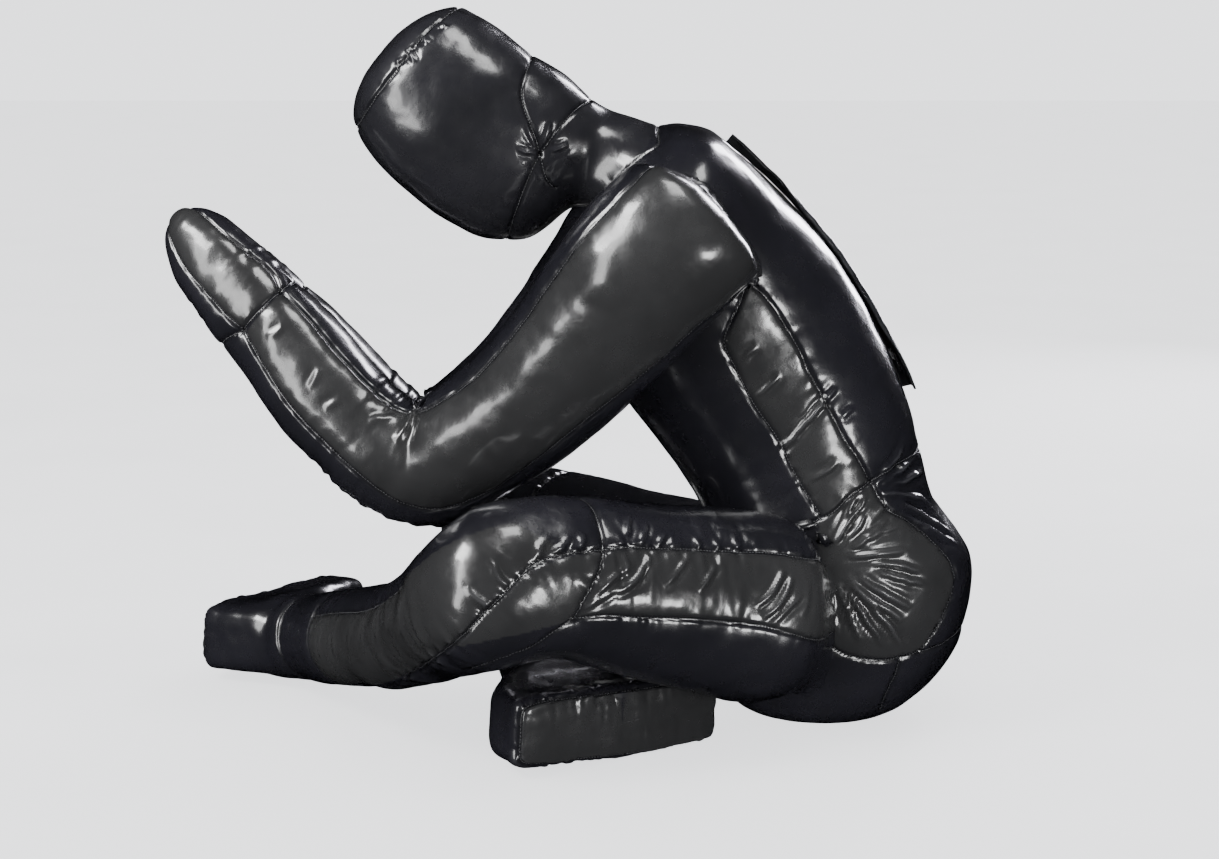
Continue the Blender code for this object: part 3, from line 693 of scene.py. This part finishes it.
def piece(skin, points, name, nodes, first=None, last=None):
    """The skin's rows between two stations as a piece; the parts it covers are hidden."""
    low = 0 if first is None else int(round(skin.row_at(first)))
    high = points.shape[0] - 1 if last is None else int(round(skin.row_at(last)))
    part = points[low:high + 1]
    rows, columns = part.shape[:2]
    facing = skin.normals(points)
    skin_faces = grid_faces(rows, columns, flip=skin.hand < 0)
    thread, thread_faces = stitch_mesh(skin, points, facing, low, high)
    corners = np.concatenate([part.reshape(-1, 3), thread])
    loops = [skin_faces.ravel()]
    sizes = [np.full(len(skin_faces), 4)]
    # a thread's pointed ends are triangles, written as four corners with the first one repeated
    is_triangle = thread_faces[:, 0] == thread_faces[:, 3]
    for chosen, width in ((thread_faces[~is_triangle], 4), (thread_faces[is_triangle][:, :3], 3)):
        loops.append((chosen + rows * columns).ravel())
        sizes.append(np.full(len(chosen), width))
    loops = np.concatenate(loops).astype(np.int32)
    sizes = np.concatenate(sizes)
    mesh = bpy.data.meshes.new(name)
    mesh.vertices.add(len(corners))
    mesh.vertices.foreach_set("co", corners.astype(np.float32).ravel())
    mesh.loops.add(len(loops))
    mesh.loops.foreach_set("vertex_index", loops)
    mesh.polygons.add(len(sizes))
    mesh.polygons.foreach_set("loop_start", (np.cumsum(sizes) - sizes).astype(np.int32))
    mesh.materials.append(VINYL)
    mesh.materials.append(THREAD)
    index = np.zeros(len(sizes), np.int32)
    index[len(skin_faces):] = 1
    mesh.polygons.foreach_set("material_index", index)
    mesh.update(calc_edges=True)
    # panel is the side vinyl's tone; the seam mask carries the painted shade along the seams
    for label, grid in (("panel", skin.panel), ("seam", skin.seam)):
        values = np.zeros(len(corners), np.float32)
        values[:rows * columns] = grid[low:high + 1].ravel()
        mesh.attributes.new(label, "FLOAT", "POINT").data.foreach_set("value", values)
    rest = mesh.attributes.new("rest", "FLOAT_VECTOR", "POINT")
    rest.data.foreach_set("vector", corners.astype(np.float32).ravel())
    mesh.shade_smooth()
    # the whole skin's normals hide the cuts between its pieces
    normals = np.array([v.vector for v in mesh.vertex_normals])
    normals[:rows * columns] = facing[low:high + 1].reshape(-1, 3)
    mesh.normals_split_custom_set_from_vertices(normals.tolist())
    made = in_scene(name, mesh)
    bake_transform(made)
    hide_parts(*nodes)


# ------------ trunk and head

trunk = Skin(trunk_stations(), X_AXIS, 1.0, columns=340)
trunk.soften(0.075, 0.0022, 11)
trunk.soften(0.030, 0.0010, 12)
trunk.soften(0.013, 0.0003, 13)

# seams as (station, degrees) routes: 0 is the left side, 90 the back, 270 the front
WAIST_SEAM = [(9.05, 90), (9.12, 62), (9.12, 42), (9.03, 24), (8.84, 11), (8.5, 0), (8.25, 340),
              (8.15, 300), (8.1, 270)]
COLLAR_SEAM = [(17.9, 90), (17.85, 62), (17.7, 40), (17.95, 22), (18.25, 352), (18.4, 320),
               (18.45, 292), (18.45, 270)]
NAPE_SEAM = [(20.0, 90), (20.07, 74), (20.42, 40), (20.6, 20), (20.7, 6)]
SKULL_SEAM = [(22.1, 90), (22.05, 77), (21.93, 44), (21.66, 29), (21.0, 13), (20.7, 6)]
THROAT_SEAM = [(20.7, 6), (20.75, 354), (20.7, 328), (20.6, 296), (20.6, 270)]
EAR_SEAM = [(20.7, 6), (20.35, 357), (19.85, 348)]
CROWN_SEAM = [(24.85, 90), (25.0, 56), (25.25, 38), (25.2, 16), (25.0, 356), (24.89, 330),
              (24.83, 302), (24.8, 270)]
SIDE_FRONT_SEAM = [(8.55, 359), (9.5, 355.5), (10.4, 355), (11.1, 354), (11.8, 356), (12.4, 359),
                   (12.75, 370), (12.95, 378)]
SIDE_BACK_SEAM = [(12.95, 18), (12.4, 20), (11.6, 19), (11.0, 17), (10.1, 17.5), (9.5, 21), (9.04, 24)]
SEAT_SIDE_SEAM = [(9.04, 24), (8.3, 30), (7.8, 44), (7.3, 49.5), (6.9, 50.5), (6.4, 48), (5.8, 41), (5.2, 33)]
SEAT_LOW_SEAM = [(5.6, 352), (5.27, 2), (5.14, 14), (5.14, 24), (5.2, 33), (5.3, 60), (5.3, 90)]
SEAT_SHORT_SEAM = [(5.14, 23), (4.3, 25), (3.4, 32)]
CENTRE_SEAMS = ([(5.3, 90), (7.0, 90), (9.05, 90)], [(9.05, 90), (9.6, 90), (10.1, 90)],
                [(15.55, 90), (16.6, 90), (17.9, 90)])

for seed, route, pucker, dip in ((20, WAIST_SEAM, 0.0012, 0.0012), (21, COLLAR_SEAM, 0.0012, 0.0018),
                                 (22, CROWN_SEAM, 0.0024, 0.0022)):
    trunk.sew(whole(route), seed, pucker=pucker, dip=dip)
for seed, route in ((23, NAPE_SEAM), (24, SKULL_SEAM), (25, THROAT_SEAM), (26, EAR_SEAM)):
    for half in (route, mirrored(route)):
        trunk.sew(half, seed, pucker=0.0008, dip=0.0018, length=0.014, depth=0.0016)
SIDE_SEAMS = ((SIDE_FRONT_SEAM, 0.0015), (SIDE_BACK_SEAM, 0.0007), (SEAT_SIDE_SEAM, 0.0020),
              (SEAT_LOW_SEAM, 0.0010), (SEAT_SHORT_SEAM, 0.0012))
for k, (route, pucker) in enumerate(SIDE_SEAMS):
    for side, half in enumerate((route, mirrored(route))):
        trunk.sew(half, 30 + 2 * k + side, pucker=pucker, dip=0.0018, length=0.012)
for k, route in enumerate(CENTRE_SEAMS):
    trunk.sew(route, 45 + k, pucker=0.0012)

# the two edges of each side panel
SIDE_LOW = [(8.55, 359), (9.5, 355.5), (10.4, 355), (11.1, 354), (11.8, 356), (12.4, 359), (12.95, 378)]
SIDE_HIGH = [(8.55, 362), (9.04, 384), (9.5, 381), (10.1, 377.5), (11.0, 377), (11.6, 379), (12.4, 380),
             (12.95, 378.5)]
SEAT_LOW = [(5.16, 374), (5.3, 355), (5.6, 352), (7.4, 352), (8.4, 358), (8.8, 371), (9.04, 383)]
SEAT_HIGH = [(5.16, 384), (5.2, 393), (5.8, 401), (6.4, 408), (6.9, 410.5), (7.3, 409.5), (7.8, 404),
             (8.3, 390), (9.04, 384)]
for low_edge, high_edge in ((SIDE_LOW, SIDE_HIGH), (SEAT_LOW, SEAT_HIGH)):
    trunk.panel_between(low_edge, high_edge)
    trunk.panel_between(mirrored(high_edge, 540.0), mirrored(low_edge, 540.0))
# the neck and head lie between the dark and the side vinyl in shade
trunk.panel[int(trunk.row_at(18)):] = 0.25


def spoke(degrees, across=0.0):
    """A direction square to X at an angle above straight back, leaning across by a share."""
    angle = math.radians(degrees)
    return np.array([across, math.cos(angle), math.sin(angle)])


rng = np.random.default_rng(7)
HIP_POINT = np.array([0.165, 0.276, 0.218])
WAIST_CORNER = np.array([0.150, 0.325, 0.290])
EAR_POINT = np.array([0.076, -0.034, 0.651])
PANEL_X = 0.15
CROWN_X = 0.070
CROWN_FOLD_WAY = np.array([0.0, 0.62, -0.78])
# folds that fan out from the hip over the seat: angle above straight back, start, length, depth
HIP_FOLDS = (
    (62, 0.020, 0.052, 0.0024), (54, 0.020, 0.062, 0.0026), (44, 0.030, 0.040, 0.0018),
    (30, 0.050, 0.050, 0.0015), (20, 0.030, 0.090, 0.0020), (10, 0.022, 0.095, 0.0024),
    (-4, 0.050, 0.070, 0.0026), (-14, 0.060, 0.065, 0.0026), (-27, 0.040, 0.080, 0.0030),
    (-38, 0.030, 0.095, 0.0030), (-47, 0.026, 0.110, 0.0032), (-57, 0.024, 0.095, 0.0028),
    (-67, 0.026, 0.070, 0.0026), (-78, 0.028, 0.062, 0.0022),
)
# folds from the waist seam's corner over the small of the back, given the same way
WAIST_FOLDS = (
    (40, 0.012, 0.070, 0.0022), (22, 0.020, 0.105, 0.0026), (8, 0.030, 0.100, 0.0026),
    (-6, 0.012, 0.110, 0.0028), (-20, 0.030, 0.100, 0.0026), (-34, 0.055, 0.080, 0.0024),
)
# short folds across the side panel: place from front to back, height, length, rise, depth
PANEL_FOLDS = (
    (0.243, 0.345, 0.075, 0.062, 0.0030), (0.262, 0.302, 0.045, 0.022, 0.0018),
    (0.230, 0.335, 0.026, 0.016, 0.0016), (0.205, 0.395, 0.036, 0.026, 0.0016),
    (0.190, 0.432, 0.022, 0.018, 0.0012), (0.300, 0.372, 0.030, 0.012, 0.0012),
)
# folds round the meeting of the seams beside the ear: angle, start, length, depth
EAR_FOLDS = (
    (165, 0.004, 0.026, 0.0022), (120, 0.008, 0.030, 0.0012), (75, 0.010, 0.030, 0.0014),
    (20, 0.010, 0.026, 0.0014), (-80, 0.010, 0.024, 0.0012),
)
# folds behind the crown seam: place from front to back, height, length, depth
CROWN_FOLDS = (
    (-0.197, 0.758, 0.018, 0.0016), (-0.186, 0.770, 0.026, 0.0022),
    (-0.170, 0.786, 0.020, 0.0018), (-0.146, 0.808, 0.014, 0.0016),
)
for hand in HANDS.values():
    flip = np.array([hand, 1.0, 1.0])
    for angle, begin, length, depth in HIP_FOLDS:
        way = spoke(angle + rng.uniform(-2.5, 2.5))
        point = HIP_POINT * flip
        trunk.crease(point + way * begin, point + way * (begin + length * rng.uniform(0.9, 1.1)),
                     depth=depth, width=rng.uniform(0.0034, 0.0048), bend=rng.uniform(-0.004, 0.004))
    for angle, begin, length, depth in WAIST_FOLDS:
        way = spoke(angle, across=-0.55 * hand)
        point = WAIST_CORNER * flip
        trunk.crease(point + way * begin, point + way * (begin + length), depth=depth,
                     width=rng.uniform(0.0038, 0.0052), bend=rng.uniform(-0.005, 0.005))
    for y, z, length, rise, depth in PANEL_FOLDS:
        y -= 0.006
        trunk.crease((PANEL_X * hand, y, z), (PANEL_X * hand, y + length * 0.75, z + rise), depth=depth,
                     width=0.0042, bend=rng.uniform(-0.003, 0.003))
    for angle, begin, length, depth in EAR_FOLDS:
        way = spoke(angle)
        point = EAR_POINT * flip
        trunk.crease(point + way * begin, point + way * (begin + length), depth=depth, width=0.0036)
    for y, z, length, depth in CROWN_FOLDS:
        start = np.array([CROWN_X * hand, y, z])
        trunk.crease(start, start + CROWN_FOLD_WAY * length, depth=depth, width=0.0040, bend=0.002)

# the strip under the zip is drawn down flat, to a radius about the back's centre, between two stations
ZIP_SHELF = 0.6212
ZIP_LOW, ZIP_HIGH = 9.85, 15.75
trunk_points = trunk.finished()
offset = trunk_points - BACK_CENTRE
radius = np.hypot(offset[..., 1], offset[..., 2])
stations = trunk.row_stations()
near_zip = ease((0.032 - np.abs(trunk_points[..., 0])) / 0.014) * ease((radius - 0.5) / 0.05)
near_zip = near_zip * (ease((stations - ZIP_LOW) / 0.2) * ease((ZIP_HIGH - stations) / 0.2))[:, None]
factor = 1.0 + near_zip * (ZIP_SHELF / np.maximum(radius, 0.1) - 1.0)
trunk_points[..., 1:] = BACK_CENTRE[1:] + offset[..., 1:] * factor[..., None]

piece(trunk, trunk_points, "body_skin",
      ("pelvis_fill", "seat_cover", "waist_fill", "torso_fill", "front_panel", "left_side_panel",
       "right_side_panel", "back_left_panel", "back_right_panel"), last=14.0)
piece(trunk, trunk_points, "head_skin",
      ("neck_fill", "neck_cover", "head_fill", "face_cover", "head_left_cover", "head_right_cover",
       "crown_cover"), first=14.0)

# a coarser copy of the trunk that the limbs' first rings are drawn onto; the rows before them are hidden
coarse = trunk_points[::2, ::2]
TRUNK_TREE = BVHTree.FromPolygons(coarse.reshape(-1, 3).tolist(), grid_faces(*coarse.shape[:2]).tolist())
HIDDEN_ROWS = 30


def sit_on_trunk(skin, station, fade, sink=0.0015):
    """Draw the skin's ring at a station onto the trunk, fading away along the limb."""
    row = int(round(skin.row_at(station)))
    count = int(fade / ROW_STEP)
    shift = np.zeros_like(skin.points[row])
    for j, point in enumerate(skin.points[row]):
        found, normal, _, _ = TRUNK_TREE.find_nearest(Vector(point))
        shift[j] = np.array(found) - np.array(normal) * sink - point
    for k in range(-min(row, HIDDEN_ROWS), count):
        weight = 1.0 if k <= 0 else 1.0 - ease(k / count)
        skin.points[row + k] += shift * weight
        if k < 0:
            inward = (skin.points[row].mean(0) - skin.points[row]) * min(1.0, -k / HIDDEN_ROWS) * 0.25
            skin.points[row + k] += inward


# ------------ arms

# seams of the arm as (station, degrees) routes: 0 is the outer side
CROOK_SEAM = [(1.1, 66), (1.8, 60), (2.5, 58), (3.5, 56), (5.0, 56), (6.0, 57), (7.0, 64), (8.0, 66),
              (9.2, 56), (10.8, 52), (12.2, 52), (13.07, 52)]
UNDER_SEAM = [(1.1, 284), (2.4, 288), (2.9, 298), (4.0, 305), (4.9, 316), (6.0, 319), (7.0, 315),
              (7.7, 322), (8.2, 330), (9.05, 336), (10.8, 336), (12.0, 336), (13.19, 342)]
WRIST_SEAM = [(13.07, 90), (13.07, 52), (13.13, 18), (13.19, 342), (13.37, 310), (13.45, 270)]
HAND_TOP_SEAM = [(13.07, 52), (13.86, 57), (15.0, 50), (16.2, 46), (17.9, 58), (18.9, 75)]
HAND_LOW_SEAM = [(13.19, 342), (14.0, 336), (16.0, 330), (18.0, 318), (18.9, 300)]
# folds across the outside of the elbow, the forearm and the hand: both ends and the depth
ARM_FOLDS = (
    (8.25, 2, 8.75, 328, 0.0032), (8.45, 4, 8.9, 334, 0.0022), (8.6, 20, 8.2, 50, 0.0016),
    (9.4, 6, 9.7, 350, 0.0016), (9.9, 10, 10.2, 352, 0.0018), (10.3, 18, 10.5, 0, 0.0014),
    (9.1, 46, 9.5, 22, 0.0016), (11.2, 24, 11.1, 2, 0.0012), (12.4, 20, 12.6, 0, 0.0010),
    (14.3, 16, 14.5, 352, 0.0012), (15.0, 10, 15.2, 340, 0.0010),
)


def turned(route):
    """The same route, with its degrees counted one turn further on."""
    return [(station, degrees + 360) for station, degrees in route]


def random_folds(skin, folds, thin, thick):
    """Folds given by both ends and a depth, each a little deeper or shallower, wider and bent."""
    for s0, d0, s1, d1, depth in folds:
        skin.fold((s0, d0), (s1, d1), depth * rng.uniform(0.85, 1.15), rng.uniform(thin, thick),
                  rng.uniform(-4, 4))


for side, hand in HANDS.items():
    seed = 100 if side == "left" else 140
    arm = Skin(*arm_stations(side), hand, columns=210)
    sit_on_trunk(arm, 1.0, 0.055)
    arm.soften(0.060, 0.0016, seed)
    arm.soften(0.028, 0.0010, seed + 1)
    arm.soften(0.013, 0.0003, seed + 30)
    arm.sew(CROOK_SEAM, seed + 2, pucker=0.0008, dip=0.0024)
    arm.sew(UNDER_SEAM, seed + 3, pucker=0.0009, dip=0.0024)
    arm.sew(mirrored(CROOK_SEAM), seed + 4, pucker=0.0010)
    arm.sew(mirrored(UNDER_SEAM, 540.0), seed + 5, pucker=0.0010)
    arm.sew(arm.ring(1.4), seed + 6, pucker=0.0030, dip=0.0030, length=0.022)
    arm.sew(whole(WRIST_SEAM), seed + 7, pucker=0.0011, dip=0.0030)
    for k, (route, pucker) in enumerate(((HAND_TOP_SEAM, 0.0011), (HAND_LOW_SEAM, 0.0007))):
        arm.sew(route, seed + 8 + k, pucker=pucker)
        arm.sew(mirrored(route), seed + 12 + k, pucker=0.0010)
    arm.panel_between(UNDER_SEAM, turned(CROOK_SEAM))
    arm.panel_between(mirrored(CROOK_SEAM), mirrored(UNDER_SEAM, 540.0))
    arm.panel_between(HAND_LOW_SEAM, turned(HAND_TOP_SEAM))
    random_folds(arm, ARM_FOLDS, 0.0042, 0.0060)
    # folds in the crook of the elbow, then folds that cross the strip on its outside
    for k in range(7):
        s0 = 7.55 + 0.20 * k + rng.uniform(-0.05, 0.05)
        arm.fold((s0, 62), (s0 + rng.uniform(-0.1, 0.1), 120), rng.uniform(0.0014, 0.0026),
                 rng.uniform(0.004, 0.006))
    for k in range(9):
        s0 = 7.3 + 0.28 * k + rng.uniform(-0.05, 0.05)
        arm.fold((s0, 325), (s0 + 0.05, 232), rng.uniform(0.0008, 0.0018), rng.uniform(0.004, 0.007))
    arm_points = arm.finished()
    piece(arm, arm_points, f"{side}_shoulder_skin",
          of_side(side, "upper_arm_fill upper_arm_cover"), last=5.3)
    piece(arm, arm_points, f"{side}_elbow_skin",
          of_side(side, "forearm_fill forearm_cover"), first=5.3, last=11.0)
    piece(arm, arm_points, f"{side}_hand_skin",
          of_side(side, "hand_fill hand_palm hand_back"), first=11.0)


# ------------ legs

# seams of the leg as (station, degrees) routes: 270 is the outer side
THIGH_TOP_SEAM = [(1.1, 292), (2.0, 289), (2.64, 290), (3.57, 288), (4.38, 284), (4.88, 279), (5.25, 275),
                  (5.47, 268), (5.69, 250), (6.2, 218), (6.8, 205), (7.5, 200)]
THIGH_LOW_SEAM = [(1.1, 240), (1.7, 241), (2.64, 247), (3.55, 245), (4.31, 239), (5.05, 230), (5.5, 200),
                  (6.2, 182)]
SHIN_SEAM = [(6.7, 284), (7.2, 286), (8.3, 292), (9.85, 291)]
KNEE_SEAM = [(5.05, 230), (4.97, 250), (4.84, 275), (4.84, 301), (4.84, 330), (4.9, 360), (5.0, 400)]
INNER_SEAM = [(1.1, 70), (3.0, 72), (5.0, 80), (7.0, 95), (9.85, 100)]
# edges of the panels on the thigh, the shin and the sole
LEG_PANELS = (
    ([(1.0, 240), (1.7, 241), (2.64, 247), (3.55, 245), (4.31, 239), (5.05, 230), (5.5, 222), (6.2, 216)],
     [(1.0, 291), (2.0, 289), (3.57, 288), (4.38, 284), (4.88, 279), (5.47, 268), (5.69, 250), (6.2, 218)]),
    ([(5.2, 275), (5.47, 268), (5.69, 250), (6.2, 218), (6.8, 205), (9.9, 195)],
     [(5.2, 276), (5.6, 300), (6.7, 284), (7.2, 286), (8.3, 292), (9.9, 291)]),
    ([(16.6, 1), (21, 1)], [(16.6, 359), (21, 359)]),
)
# folds on the outside of the thigh, at the knee pit and down the shin: both ends and the depth
LEG_FOLDS = (
    (2.75, 252, 2.35, 276, 0.0030), (2.85, 258, 2.45, 280, 0.0030), (2.6, 250, 2.2, 268, 0.0020),
    (2.2, 255, 2.1, 275, 0.0014), (3.6, 262, 3.35, 279, 0.0020), (4.05, 262, 3.7, 283, 0.0022),
    (4.7, 252, 4.2, 280, 0.0026), (4.95, 246, 4.5, 272, 0.0022), (5.1, 236, 4.6, 262, 0.0020),
    (4.35, 286, 4.2, 306, 0.0026), (4.55, 288, 4.4, 312, 0.0028), (4.1, 286, 3.95, 298, 0.0022),
    (5.3, 276, 5.15, 288, 0.0026), (5.1, 277, 5.0, 290, 0.0026), (5.45, 270, 5.3, 288, 0.0026),
    (5.6, 258, 5.75, 274, 0.0030), (5.75, 246, 5.95, 262, 0.0024), (6.6, 275, 6.75, 240, 0.0030),
    (6.8, 282, 7.0, 250, 0.0024), (7.3, 284, 7.45, 250, 0.0018), (7.8, 288, 8.0, 255, 0.0018),
    (8.2, 290, 8.5, 250, 0.0016), (8.8, 290, 9.0, 240, 0.0016), (9.3, 288, 9.5, 240, 0.0014),
)


def calm_at_hip(along):
    """Strength of the puckers by the place along the thigh: faint near the hip."""
    return 0.35 + 0.9 * ease((along - 0.10) / 0.05)


for side, hand in HANDS.items():
    seed = 200 if side == "left" else 240
    leg = Skin(*leg_stations(side), hand, columns=240)
    sit_on_trunk(leg, 1.0, 0.050)
    leg.soften(0.070, 0.0020, seed)
    leg.soften(0.028, 0.0009, seed + 1)
    leg.soften(0.013, 0.0003, seed + 30)
    leg.sew(THIGH_TOP_SEAM, seed + 2, pucker=0.0030, dip=0.0034, length=0.020, calm=calm_at_hip)
    leg.sew(THIGH_LOW_SEAM, seed + 3, pucker=0.0012, dip=0.0014, length=0.014)
    leg.sew(SHIN_SEAM, seed + 4, pucker=0.0014)
    leg.sew(KNEE_SEAM, seed + 5, pucker=0.0022, dip=0.0034, length=0.018)
    leg.sew(INNER_SEAM, seed + 6, pucker=0.0012)
    leg.sew(leg.ring(1.0), seed + 7, pucker=0.0014, dip=0.0060, length=0.020)
    leg.sew(leg.ring(9.9), seed + 8, pucker=0.0012, dip=0.0030, length=0.012)
    leg.sew(leg.ring(11.2), seed + 9, pucker=0.0013, dip=0.0030, length=0.012)
    leg.sew(leg.ring(16.55), seed + 10, pucker=0.0026, dip=0.0022, length=0.012, wave=0.0062)
    for low_edge, high_edge in LEG_PANELS:
        leg.panel_between(low_edge, high_edge)
    random_folds(leg, LEG_FOLDS, 0.0036, 0.0052)
    leg_points = leg.finished()
    piece(leg, leg_points, f"{side}_hip_skin",
          of_side(side, "thigh_fill thigh_cover"), last=4.0)
    piece(leg, leg_points, f"{side}_knee_skin",
          of_side(side, "shin_fill shin_cover"), first=4.0, last=9.0)
    piece(leg, leg_points, f"{side}_foot_skin",
          of_side(side, "foot_fill foot_sole foot_boxing foot_upper"), first=9.0)


# ------------ zip

# the flap's half width and thickness, its ends round the back's arc, and the back's radius under it
FLAP_HALF, FLAP_THICK = 0.021, 0.0022
FLAP_LOW, FLAP_HIGH = 20.0, 52.5
FLAP_RADIUS = 0.6232
FLAP_LIFT = ((20, 0.0115), (23, 0.0098), (29, 0.0072), (36, 0.0070), (43, 0.0072), (48, 0.0088),
             (52.5, 0.0112))
FLAP_COLUMNS = 25


def flap_strip():
    """Flap over the zip: sewn down along its right edge, standing off the back most at its two ends."""
    half, thick = FLAP_HALF, FLAP_THICK
    degrees = np.linspace(FLAP_LOW, FLAP_HIGH, 240)
    lift = np.interp(degrees, *zip(*FLAP_LIFT))
    lift = np.convolve(np.pad(lift, 12, mode="edge"), np.ones(25) / 25, "valid")
    lift = lift + 0.0006 * noise(300, degrees / 2.3)
    # outline of the strip's section: place across it, depth under its top
    last = FLAP_COLUMNS - 1
    outline = [(half - 2 * half * k / last, 0.0) for k in range(FLAP_COLUMNS)]
    outline += [(-half - 0.0006, thick * 0.5), (-half, thick)]
    outline += [(-half + 0.0012 + (2 * half - 0.0012) * k / last, thick) for k in range(FLAP_COLUMNS)]
    outline.append((half + 0.0006, thick * 0.5))
    across, under = np.array(outline).T
    # the right edge lies on the back, and the left edge is drawn down between the two ends
    drop = 0.92 * ease((-across - half + 0.010) / 0.009)
    edge_drop = 0.6 * ease((across - half + 0.011) / 0.010)
    middle = ease((degrees - 23.0) / 5.0) * ease((46.0 - degrees) / 5.0)
    share = (1.0 - drop)[None, :] * (1.0 - middle[:, None] * edge_drop[None, :])
    radius = FLAP_RADIUS + thick + lift[:, None] * share - under[None, :]
    radius = radius + 0.0004 * noise(301, degrees[:, None] / 0.9, across[None, :] / 0.012)
    hem = np.exp(-(((np.abs(across) - half + 0.0035) / 0.0008) ** 2)) * (under == 0)
    radius = radius - 0.0006 * hem[None, :]
    angle = np.radians(degrees)[:, None]
    points = np.stack([np.broadcast_to(across[None, :], radius.shape),
                       BACK_CENTRE[1] + radius * np.cos(angle),
                       BACK_CENTRE[2] + radius * np.sin(angle)], axis=2)
    rows, columns = points.shape[:2]
    faces = grid_faces(rows, columns).tolist()
    faces.append(tuple(range(columns))[::-1])
    faces.append(tuple(range((rows - 1) * columns, rows * columns)))
    mesh = bpy.data.meshes.new("zip_flap_strip")
    mesh.from_pydata(points.reshape(-1, 3).tolist(), [], faces)
    mesh.update()
    mesh.shade_smooth()
    mesh.materials.append(FLAP)
    strip = in_scene("zip_flap_strip", mesh)
    strip.modifiers.new("edge", "EDGE_SPLIT").split_angle = math.radians(50)
    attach(strip, "torso")
    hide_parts("zip_flap")


flap_strip()
for name, look in (("zip_tape_left", TAPE), ("zip_tape_right", TAPE), ("zip_teeth", TEETH),
                   ("zip_slider", METAL), ("zip_pull", METAL)):
    cad_node = frame["nodes"][name]
    if not cad_node.material_slots:
        cad_node.data.materials.append(look)
    for holder in cad_node.material_slots:
        holder.material = look


# ------------ studio

STUDIO_COLOUR = (0.93, 0.94, 0.97, 1)
FLOOR_SIZE = 40.0
FLOOR_GLOW = 1.80
WORLD_GLOW = 2.4
CAMERA_AT = (2.6, 0.04, 0.80)
CAMERA_PITCH = 10.2
CAMERA_LENS = 67.63
SENSOR_WIDTH = 36.0
# name, place, aimed at, width, height, watts, colour
LIGHTS = (
    ("key_light", (1.3, -1.7, 2.2), (0.0, 0.0, 0.4), 1.0, 0.8, 92.0, (1.0, 1.0, 1.0)),
    ("rim_light", (-2.4, 1.5, 1.5), (0.0, 0.2, 0.45), 0.6, 2.0, 95.0, (0.93, 0.91, 1.0)),
    ("top_light", (0.9, 0.5, 2.6), (0.0, 0.1, 0.3), 0.9, 0.9, 34.0, (1.0, 1.0, 1.0)),
    ("front_box", (2.3, -2.1, 1.15), (0.1, 0.0, 0.4), 0.8, 2.2, 70.0, (1.0, 1.0, 1.0)),
    ("side_box", (2.2, 1.7, 0.35), (0.1, 0.3, 0.2), 0.5, 0.6, 28.0, (1.0, 1.0, 1.0)),
)

# neither the floor nor the pale surroundings are seen in the gloss, so the black vinyl stays black
bpy.ops.mesh.primitive_plane_add(size=FLOOR_SIZE, location=(0.0, 0.0, 0.0))
floor = bpy.context.object
floor.name = "studio_floor"
pale_floor = simple_material("pale_floor", (0.18, 0.18, 0.18), (0.19, 0.19, 0.19), 3.0, 0.9, bump=0.0)
floor_shader = pale_floor.node_tree.nodes["Principled BSDF"]
floor_shader.inputs["Emission Color"].default_value = STUDIO_COLOUR
floor_shader.inputs["Emission Strength"].default_value = FLOOR_GLOW
floor.data.materials.append(pale_floor)
floor.visible_diffuse = False
floor.visible_glossy = False

world = bpy.data.worlds.new("studio")
bpy.context.scene.world = world
world.use_nodes = True
world.node_tree.nodes["Background"].inputs["Color"].default_value = STUDIO_COLOUR
world.node_tree.nodes["Background"].inputs["Strength"].default_value = WORLD_GLOW
world.cycles_visibility.glossy = False

for name, at, aim, width, height, watts, colour in LIGHTS:
    light = bpy.data.lights.new(name, "AREA")
    light.shape = "RECTANGLE"
    light.size = width
    light.size_y = height
    light.energy = watts
    light.color = colour
    box = in_scene(name, light)
    box.location = at
    box.rotation_euler = (Vector(aim) - Vector(at)).to_track_quat("-Z", "Y").to_euler()
    box.visible_camera = False

camera_data = bpy.data.cameras.new("camera")
camera_data.lens = CAMERA_LENS
camera_data.sensor_width = SENSOR_WIDTH
camera = in_scene("camera", camera_data)
camera.location = CAMERA_AT
camera.rotation_euler = (math.radians(90.0 - CAMERA_PITCH), 0.0, math.radians(90.0))
bpy.context.scene.camera = camera
